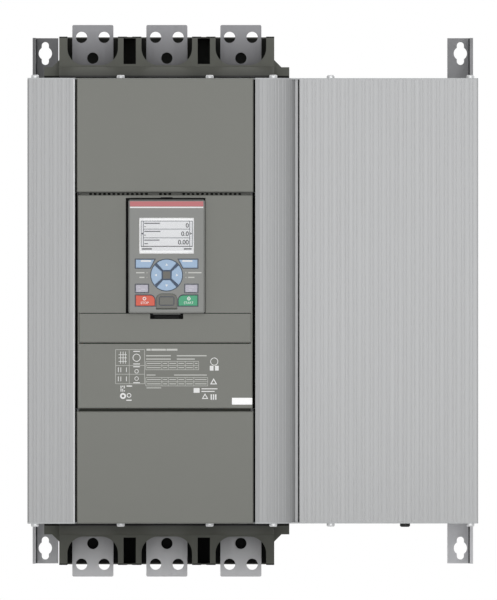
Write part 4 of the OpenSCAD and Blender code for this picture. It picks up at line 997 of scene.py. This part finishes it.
print_marks("mode_key_sign", key_y, inks["lilac"], "mode_key", bars=[
    rule(21.4, 26.2, 25.2, 0.9), rule(21.4, 24.6, 22.6, 0.9)])
print_marks("stop_sign", key_y, inks["white"], "stop_key",
            discs=[dot(-21.4, 14.1, SIGN_R, SIGN_HOLE)])
print_word("stop_word", "STOP", -21.2, 9.0, WORD_H, key_y - FILM, inks["white"],
           "stop_key", align="CENTER")
print_marks("start_sign", key_y, inks["white"], "start_key",
            bars=[upright(21.4, 13.6, 16.4, 0.7)],
            discs=[dot(21.4, 14.1, SIGN_R, SIGN_HOLE)])
print_word("start_word", "START", 21.2, 9.0, WORD_H, key_y - FILM, inks["white"],
           "start_key", align="CENTER")
print("key faces at depth", round(-key_y / MM, 2), "mm")

# %% [markdown]
# ### Status lights
# Four tiny lights stand beside the arrow keys. One is modelled at the origin: a short cylinder
# whose rim is bevelled to a dome. It is copied to the four places, each copy with its own mesh,
# and then removed.

# %% Status lights
LIGHT_R, LIGHT_H, LIGHT_ROUND = 0.8 * MM, 0.6 * MM, 0.25 * MM
SMOOTH = math.radians(40)
light_off = finish("light_off", moulded, (170, 172, 165), 0.25, 900.0, 0.05, coat=0.5)


def own_copy(model, name, place, turn=(0, 0, 0)):
    """A copy of a modelled piece with its own mesh, its place and turn applied."""
    bpy.ops.object.select_all(action="DESELECT")
    model.select_set(True)
    bpy.context.view_layer.objects.active = model
    bpy.ops.object.duplicate()
    piece = bpy.context.object
    piece.name = name
    piece.data.name = name
    piece.location = place
    piece.rotation_euler = turn
    bpy.ops.object.transform_apply(location=True, rotation=True, scale=True)
    return piece


bpy.ops.object.select_all(action="DESELECT")
bpy.ops.mesh.primitive_cylinder_add(vertices=24, radius=LIGHT_R, depth=LIGHT_H,
                                    location=(0, 0, 0), rotation=(math.pi / 2, 0, 0))
dome = bpy.context.object
bpy.ops.object.transform_apply(location=True, rotation=True, scale=True)
rim = dome.modifiers.new("dome", "BEVEL")
rim.width = LIGHT_ROUND
rim.segments = 4
bpy.ops.object.modifier_apply(modifier="dome")
bpy.ops.object.shade_smooth_by_angle(angle=SMOOTH)
dome.data.materials.append(light_off)
light_places = (-18.9, 39.1), (-18.9, 34.6), (18.5, 39.1), (18.5, 34.6)
for i, (u, v) in enumerate(light_places):
    light = own_copy(dome, f"status_light_{i + 1}", (pad_x + u * MM, pad_y, pad_z + v * MM))
    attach(light, "keypad")
bpy.data.objects.remove(dome)
print("status lights:", len(light_places))

# %% [markdown]
# ### Rating field on the middle cover
# Below the terminal door a field of thin pale lines is printed on the cover: the frame of a small
# diagram, a few rows and two tables, all in one thin film. Loops draw what repeats, such as the
# columns of the tables and the bars in their cells.

# %% Rating field
LINE = 0.4
TABLE_H = 8.1
CELL_GAP = 1.1
cover_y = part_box("terminal_door")[0].y


def across(x0, x1, z, width=LINE):
    """A thin line across the cover; numbers in millimetres."""
    return (x0 * MM, x1 * MM, (z - width / 2) * MM, (z + width / 2) * MM)


def up(x, z0, z1, width=LINE):
    """A thin line up the cover."""
    return ((x - width / 2) * MM, (x + width / 2) * MM, z0 * MM, z1 * MM)


marks = [across(-132.5, -104.5, z) for z in (-47.1, -62.4, -70.8, -80.0)]
marks += [up(x, -80.0, -47.1) for x in (-132.5, -119.3, -104.5)]
marks += [across(x0, x1, -47.2, 1.8)
          for x0, x1 in ((-102.7, -98.6), (-98.0, -84.0), (-83.4, -72.8))]
marks += [across(-102.9, -79.2, z, 1.0) for z in (-53.0, -56.2)]
marks += [across(-73.4, x1, z, 1.0) for x1, z in ((-44.7, -53.0), (-56.0, -56.2))]
columns = (-103.3, -87.8, -81.7, -73.0, -65.3, -57.0)
for right, foot in ((-52.3, -66.5), (-43.6, -82.1)):
    marks += [across(columns[0], right, foot + h) for h in (0.0, 4.0, TABLE_H)]
    marks += [up(x, foot, foot + TABLE_H) for x in (*columns, right)]
    for x0, x1 in zip(columns, (*columns[1:], right)):
        marks += [across(x0 + CELL_GAP, x1 - CELL_GAP, foot + h, 0.8) for h in (2.0, 6.1)]
marks += [across(-102.6, -94.0, -71.6, 0.9), across(-76.0, -44.4, -71.6, 0.9)]
marks += [across(-102.6, -88.4, -84.0, 0.8)]
print_marks("rating_lines", cover_y, inks["pale"], "enclosure", bars=marks)
print("rating lines:", len(marks))

# %% [markdown]
# Small signs stand in the cells of the diagram and round the tables. They are simple shapes:
# rings, squares, triangles and short bars. A white sticker sits in the lower right corner.

# %% Rating signs
TRIANGLE_HOLE = 0.78
signs = [across(-129.6, -121.6, z, 0.5) for z in (-52.0, -55.0, -58.4)]
signs += [up(x, -60.6, -49.0, 0.5) for x in (-127.6, -125.2, -122.9)]
signs += [across(-115.4, -109.0, z, 0.8) for z in (-48.8, -60.9, -63.6, -79.0)]
signs += [up(x, z - 2.4, z + 2.2, 0.6) for x in (-129.8, -127.4, -122.0) for z in (-66.4, -75.2)]
signs += [across(-121.9, -116.5, -82.2, 1.0), across(-122.1, -117.0, -95.9, 1.1)]
signs += [across(-127.8 + i % 3 * 1.6, -126.7 + i % 3 * 1.6, -82.4 - i // 3 * 1.5, 1.0)
          for i in range(12) if i not in (4, 8)]
signs += [across(-41.6, -38.0, -65.0, 4.6), across(-36.6, -33.0, -65.0, 4.6)]
signs += [across(-57.2, -51.4, -86.4, 4.6)]
signs += [across(-49.6, -34.2, -84.9, 0.9), across(-49.6, -37.0, -87.4, 0.9)]
signs += [up(x, -95.4, -90.2, 1.2) for x in (-40.2, -38.0, -35.8)]
rings = [(-112.2, -54.9, 3.8, 3.2), (-112.2, -68.0, 2.0, 1.5), (-112.2, -75.0, 2.0, 1.5),
         (-125.3, -91.8, 2.9, 1.3), (-37.3, -58.6, 3.8, 3.2), (-119.5, -91.2, 2.2, 1.5)]
triangles = [(-37.9, -78.6, 4.0), (-46.2, -92.8, 3.6)]
print_marks("rating_signs", cover_y, inks["white"], "enclosure", bars=signs,
            discs=[(x * MM, z * MM, r * MM, hole * MM) for x, z, r, hole in rings]
            + [(x * MM, z * MM, r * MM, r * TRIANGLE_HOLE * MM, 3, 0.0) for x, z, r in triangles])
print_marks("blank_sticker", cover_y, inks["paper"], "enclosure",
            bars=[(-20.2 * MM, -0.7 * MM, -100.1 * MM, -93.6 * MM)])
print("rating signs:", len(signs) + len(rings) + len(triangles))

# %% [markdown]
# ## Painted shade in the seams
# Dark strips of painted shade lie deep in the seams beside the covers and in the seam beside the
# bypass box, a grey one lies under the middle cover, and a black one behind the vents, so that
# these seams and holes show as shadow. One function makes them all: a cube is sized, and its two
# front edges are bevelled to a round top.


# %% Shade strips
STRIP_ROUND = 0.45 * MM
STRIP_SHORTEST = 10 * MM
NEAR = 0.001 * MM
# Painted shade: the strips are near-black or dark grey and dull.
shade_strip_black = dull(finish("shade_strip_black", moulded, (9, 9, 9), 0.9, 1100.0, 0.1), 0.08)
shade_strip_grey = dull(finish("shade_strip_grey", moulded, (70, 71, 66), 0.8, 1100.0, 0.08), 0.2)


def shade_strip(name, x, d, z, material=shade_strip_black):
    """A dark strip of painted shade between two x values, two depths and two heights, in
    millimetres.
    """
    bpy.ops.object.select_all(action="DESELECT")
    at = [sum(x) / 2 * MM, -sum(d) / 2 * MM, sum(z) / 2 * MM]
    bpy.ops.mesh.primitive_cube_add(size=1, location=at)
    piece = bpy.context.object
    piece.name = name
    piece.scale = [abs(b - a) * MM for a, b in (x, d, z)]
    bpy.ops.object.transform_apply(location=True, rotation=True, scale=True)
    front = -max(d) * MM
    along = 2 if abs(z[1] - z[0]) > abs(x[1] - x[0]) else 0
    bpy.ops.object.mode_set(mode="EDIT")
    bpy.ops.mesh.select_mode(type="EDGE")
    bpy.ops.mesh.select_all(action="DESELECT")
    mesh = bmesh.from_edit_mesh(piece.data)
    for edge in mesh.edges:
        a, b = (vert.co for vert in edge.verts)
        in_front = max(abs(a.y - front), abs(b.y - front)) < NEAR
        edge.select = in_front and abs((b - a)[along]) > STRIP_SHORTEST
    bmesh.update_edit_mesh(piece.data)
    bpy.ops.mesh.bevel(offset=STRIP_ROUND, segments=3)
    bpy.ops.mesh.select_mode(type="VERT")
    bpy.ops.object.mode_set(mode="OBJECT")
    bpy.ops.object.shade_smooth_by_angle(angle=SMOOTH)
    piece.data.materials.append(material)
    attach(piece, "enclosure")
    return piece


def edges(node, axis):
    """Both ends of a solid along one axis, in millimetres."""
    low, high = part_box(node)
    return low[axis] / MM, high[axis] / MM


print("seal finishes:", shade_strip_black.name, shade_strip_grey.name)

# %% [markdown]
# The strips of painted shade beside the covers end at the profiles that the covers lie between,
# and the one at the box fills the seam between the two profiles there. A little room is left all
# round, so that no strip cuts into a solid.

# %% Place the shade strips
LEFT_FACE, RIGHT_FACE = -171.6, 2.29
COVERS_X = -167.0, -2.4
STRIP_END = 213.5
STRIP_DEPTH = 360.1, 366
ROOM, BOX_ROOM = 0.1, 0.05
for name in ("top_cover", "middle_cover", "bottom_cover"):
    x, z = edges(name, 0), edges(name, 2)
    z = (max(z[0], -STRIP_END), min(z[1], STRIP_END))
    shade_strip("left_shade_strip_" + name, (LEFT_FACE, x[0] - ROOM), STRIP_DEPTH, z)
    shade_strip("right_shade_strip_" + name, (x[1] + ROOM, RIGHT_FACE - ROOM), STRIP_DEPTH, z)
seam = (edges("right_profile", 0)[1] + BOX_ROOM, edges("box_profile", 0)[0] - BOX_ROOM)
frame_edge = -edges("box_frame", 1)[0]
shade_strip("box_shade_strip", seam, (frame_edge + 0.02, frame_edge + 1.4), (-STRIP_END, STRIP_END))
shade_strip("lower_shade_strip", COVERS_X, (364.1, 367.5), (-106.4, -104.0), shade_strip_grey)
shade_strip("vent_shade_strip", COVERS_X, (360.2, 362.4), (102.1, 104.6))
print("width of the seal at the box:", round(seam[1] - seam[0], 2), "mm")

# %% [markdown]
# ## Painted shade at the bends of the mounting plate
# The ears are folded from one sheet, and the shade in the inside of each fold is painted as a dark
# line along the flange. Each line is a thin film on the face of its ear.

# %% Painted shade at the bends
FOLD_INNER, FOLD_OUTER = 211.4 * MM, 212.6 * MM
EAR_FOOT = 216 * MM
EAR_FACE = -3.0 * MM
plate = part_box("mounting_plate")
bends = [(x0, x1, z0, z1) for x0, x1 in ((-FOLD_OUTER, -FOLD_INNER), (FOLD_INNER, FOLD_OUTER))
         for z0, z1 in ((plate[0].z, -EAR_FOOT), (EAR_FOOT, plate[1].z))]
print_marks("fold_painted_shade", EAR_FACE, inks["dark"], "enclosure", bars=bends)
print("bend lines:", len(bends))

# %% [markdown]
# ## Screws in the side panels
# The side panels are held by flat countersunk screws. One is modelled at the origin: a cylinder
# whose rim is bevelled, with a cross recess cut by a Boolean modifier. Then it is copied to its
# places, on both sides, and each copy gets its own mesh.

# %% Side screws
SCREW_R, SCREW_H, SCREW_RIM = 3.4 * MM, 1.0 * MM, 0.3 * MM
RECESS = 3.6 * MM, 0.8 * MM, 1.0 * MM
RECESS_EDGE = 0.12 * MM
bpy.ops.object.select_all(action="DESELECT")
bpy.ops.mesh.primitive_cylinder_add(vertices=32, radius=SCREW_R, depth=SCREW_H)
screw = bpy.context.object
screw.name = "side_screw"
rim = screw.modifiers.new("rim", "BEVEL")
rim.width = SCREW_RIM
rim.segments = 2
bpy.ops.object.modifier_apply(modifier="rim")
bpy.ops.object.select_all(action="DESELECT")
bpy.ops.mesh.primitive_cube_add(size=1, location=(0, 0, SCREW_H / 2))
cutter = bpy.context.object
cutter.scale = RECESS
bpy.ops.object.transform_apply(location=True, rotation=True, scale=True)
bpy.ops.object.mode_set(mode="EDIT")
bpy.ops.mesh.select_all(action="SELECT")
bpy.ops.mesh.bevel(offset=RECESS_EDGE, segments=1)
bpy.ops.object.mode_set(mode="OBJECT")
for quarter in (0, 1):
    cutter.rotation_euler = (0, 0, quarter * math.pi / 2)
    bpy.context.view_layer.objects.active = screw
    slotted = screw.modifiers.new("slot", "BOOLEAN")
    slotted.operation = "DIFFERENCE"
    slotted.object = cutter
    bpy.context.view_layer.update()
    bpy.ops.object.modifier_apply(modifier="slot")
bpy.data.objects.remove(cutter)
print("screw faces:", len(screw.data.polygons))

# %% [markdown]
# The left panel faces -X and the right one +X, so the copies are turned by a quarter turn to one
# side or the other before their place is applied. They stand proud by a third of a millimetre.

# %% Place the side screws
SUNK = 0.2 * MM
ROWS = -195, -97.5, 0, 97.5, 195
left_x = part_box("left_side_panel")[0].x
right_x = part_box("right_side_panel")[1].x
count = 0
for side, x, depths in ((-1, left_x, (15, 335)), (1, right_x, (15, 314))):
    for depth in depths:
        for z in ROWS:
            count += 1
            copy = own_copy(screw, f"side_screw_{count:02d}",
                            (x - side * SUNK, -depth * MM, z * MM), (0, side * math.pi / 2, 0))
            bpy.ops.object.shade_smooth_by_angle(angle=math.radians(30))
            copy.data.materials.append(finishes["screw"])
            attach(copy, "enclosure")
bpy.data.objects.remove(screw)
print("side screws:", count)
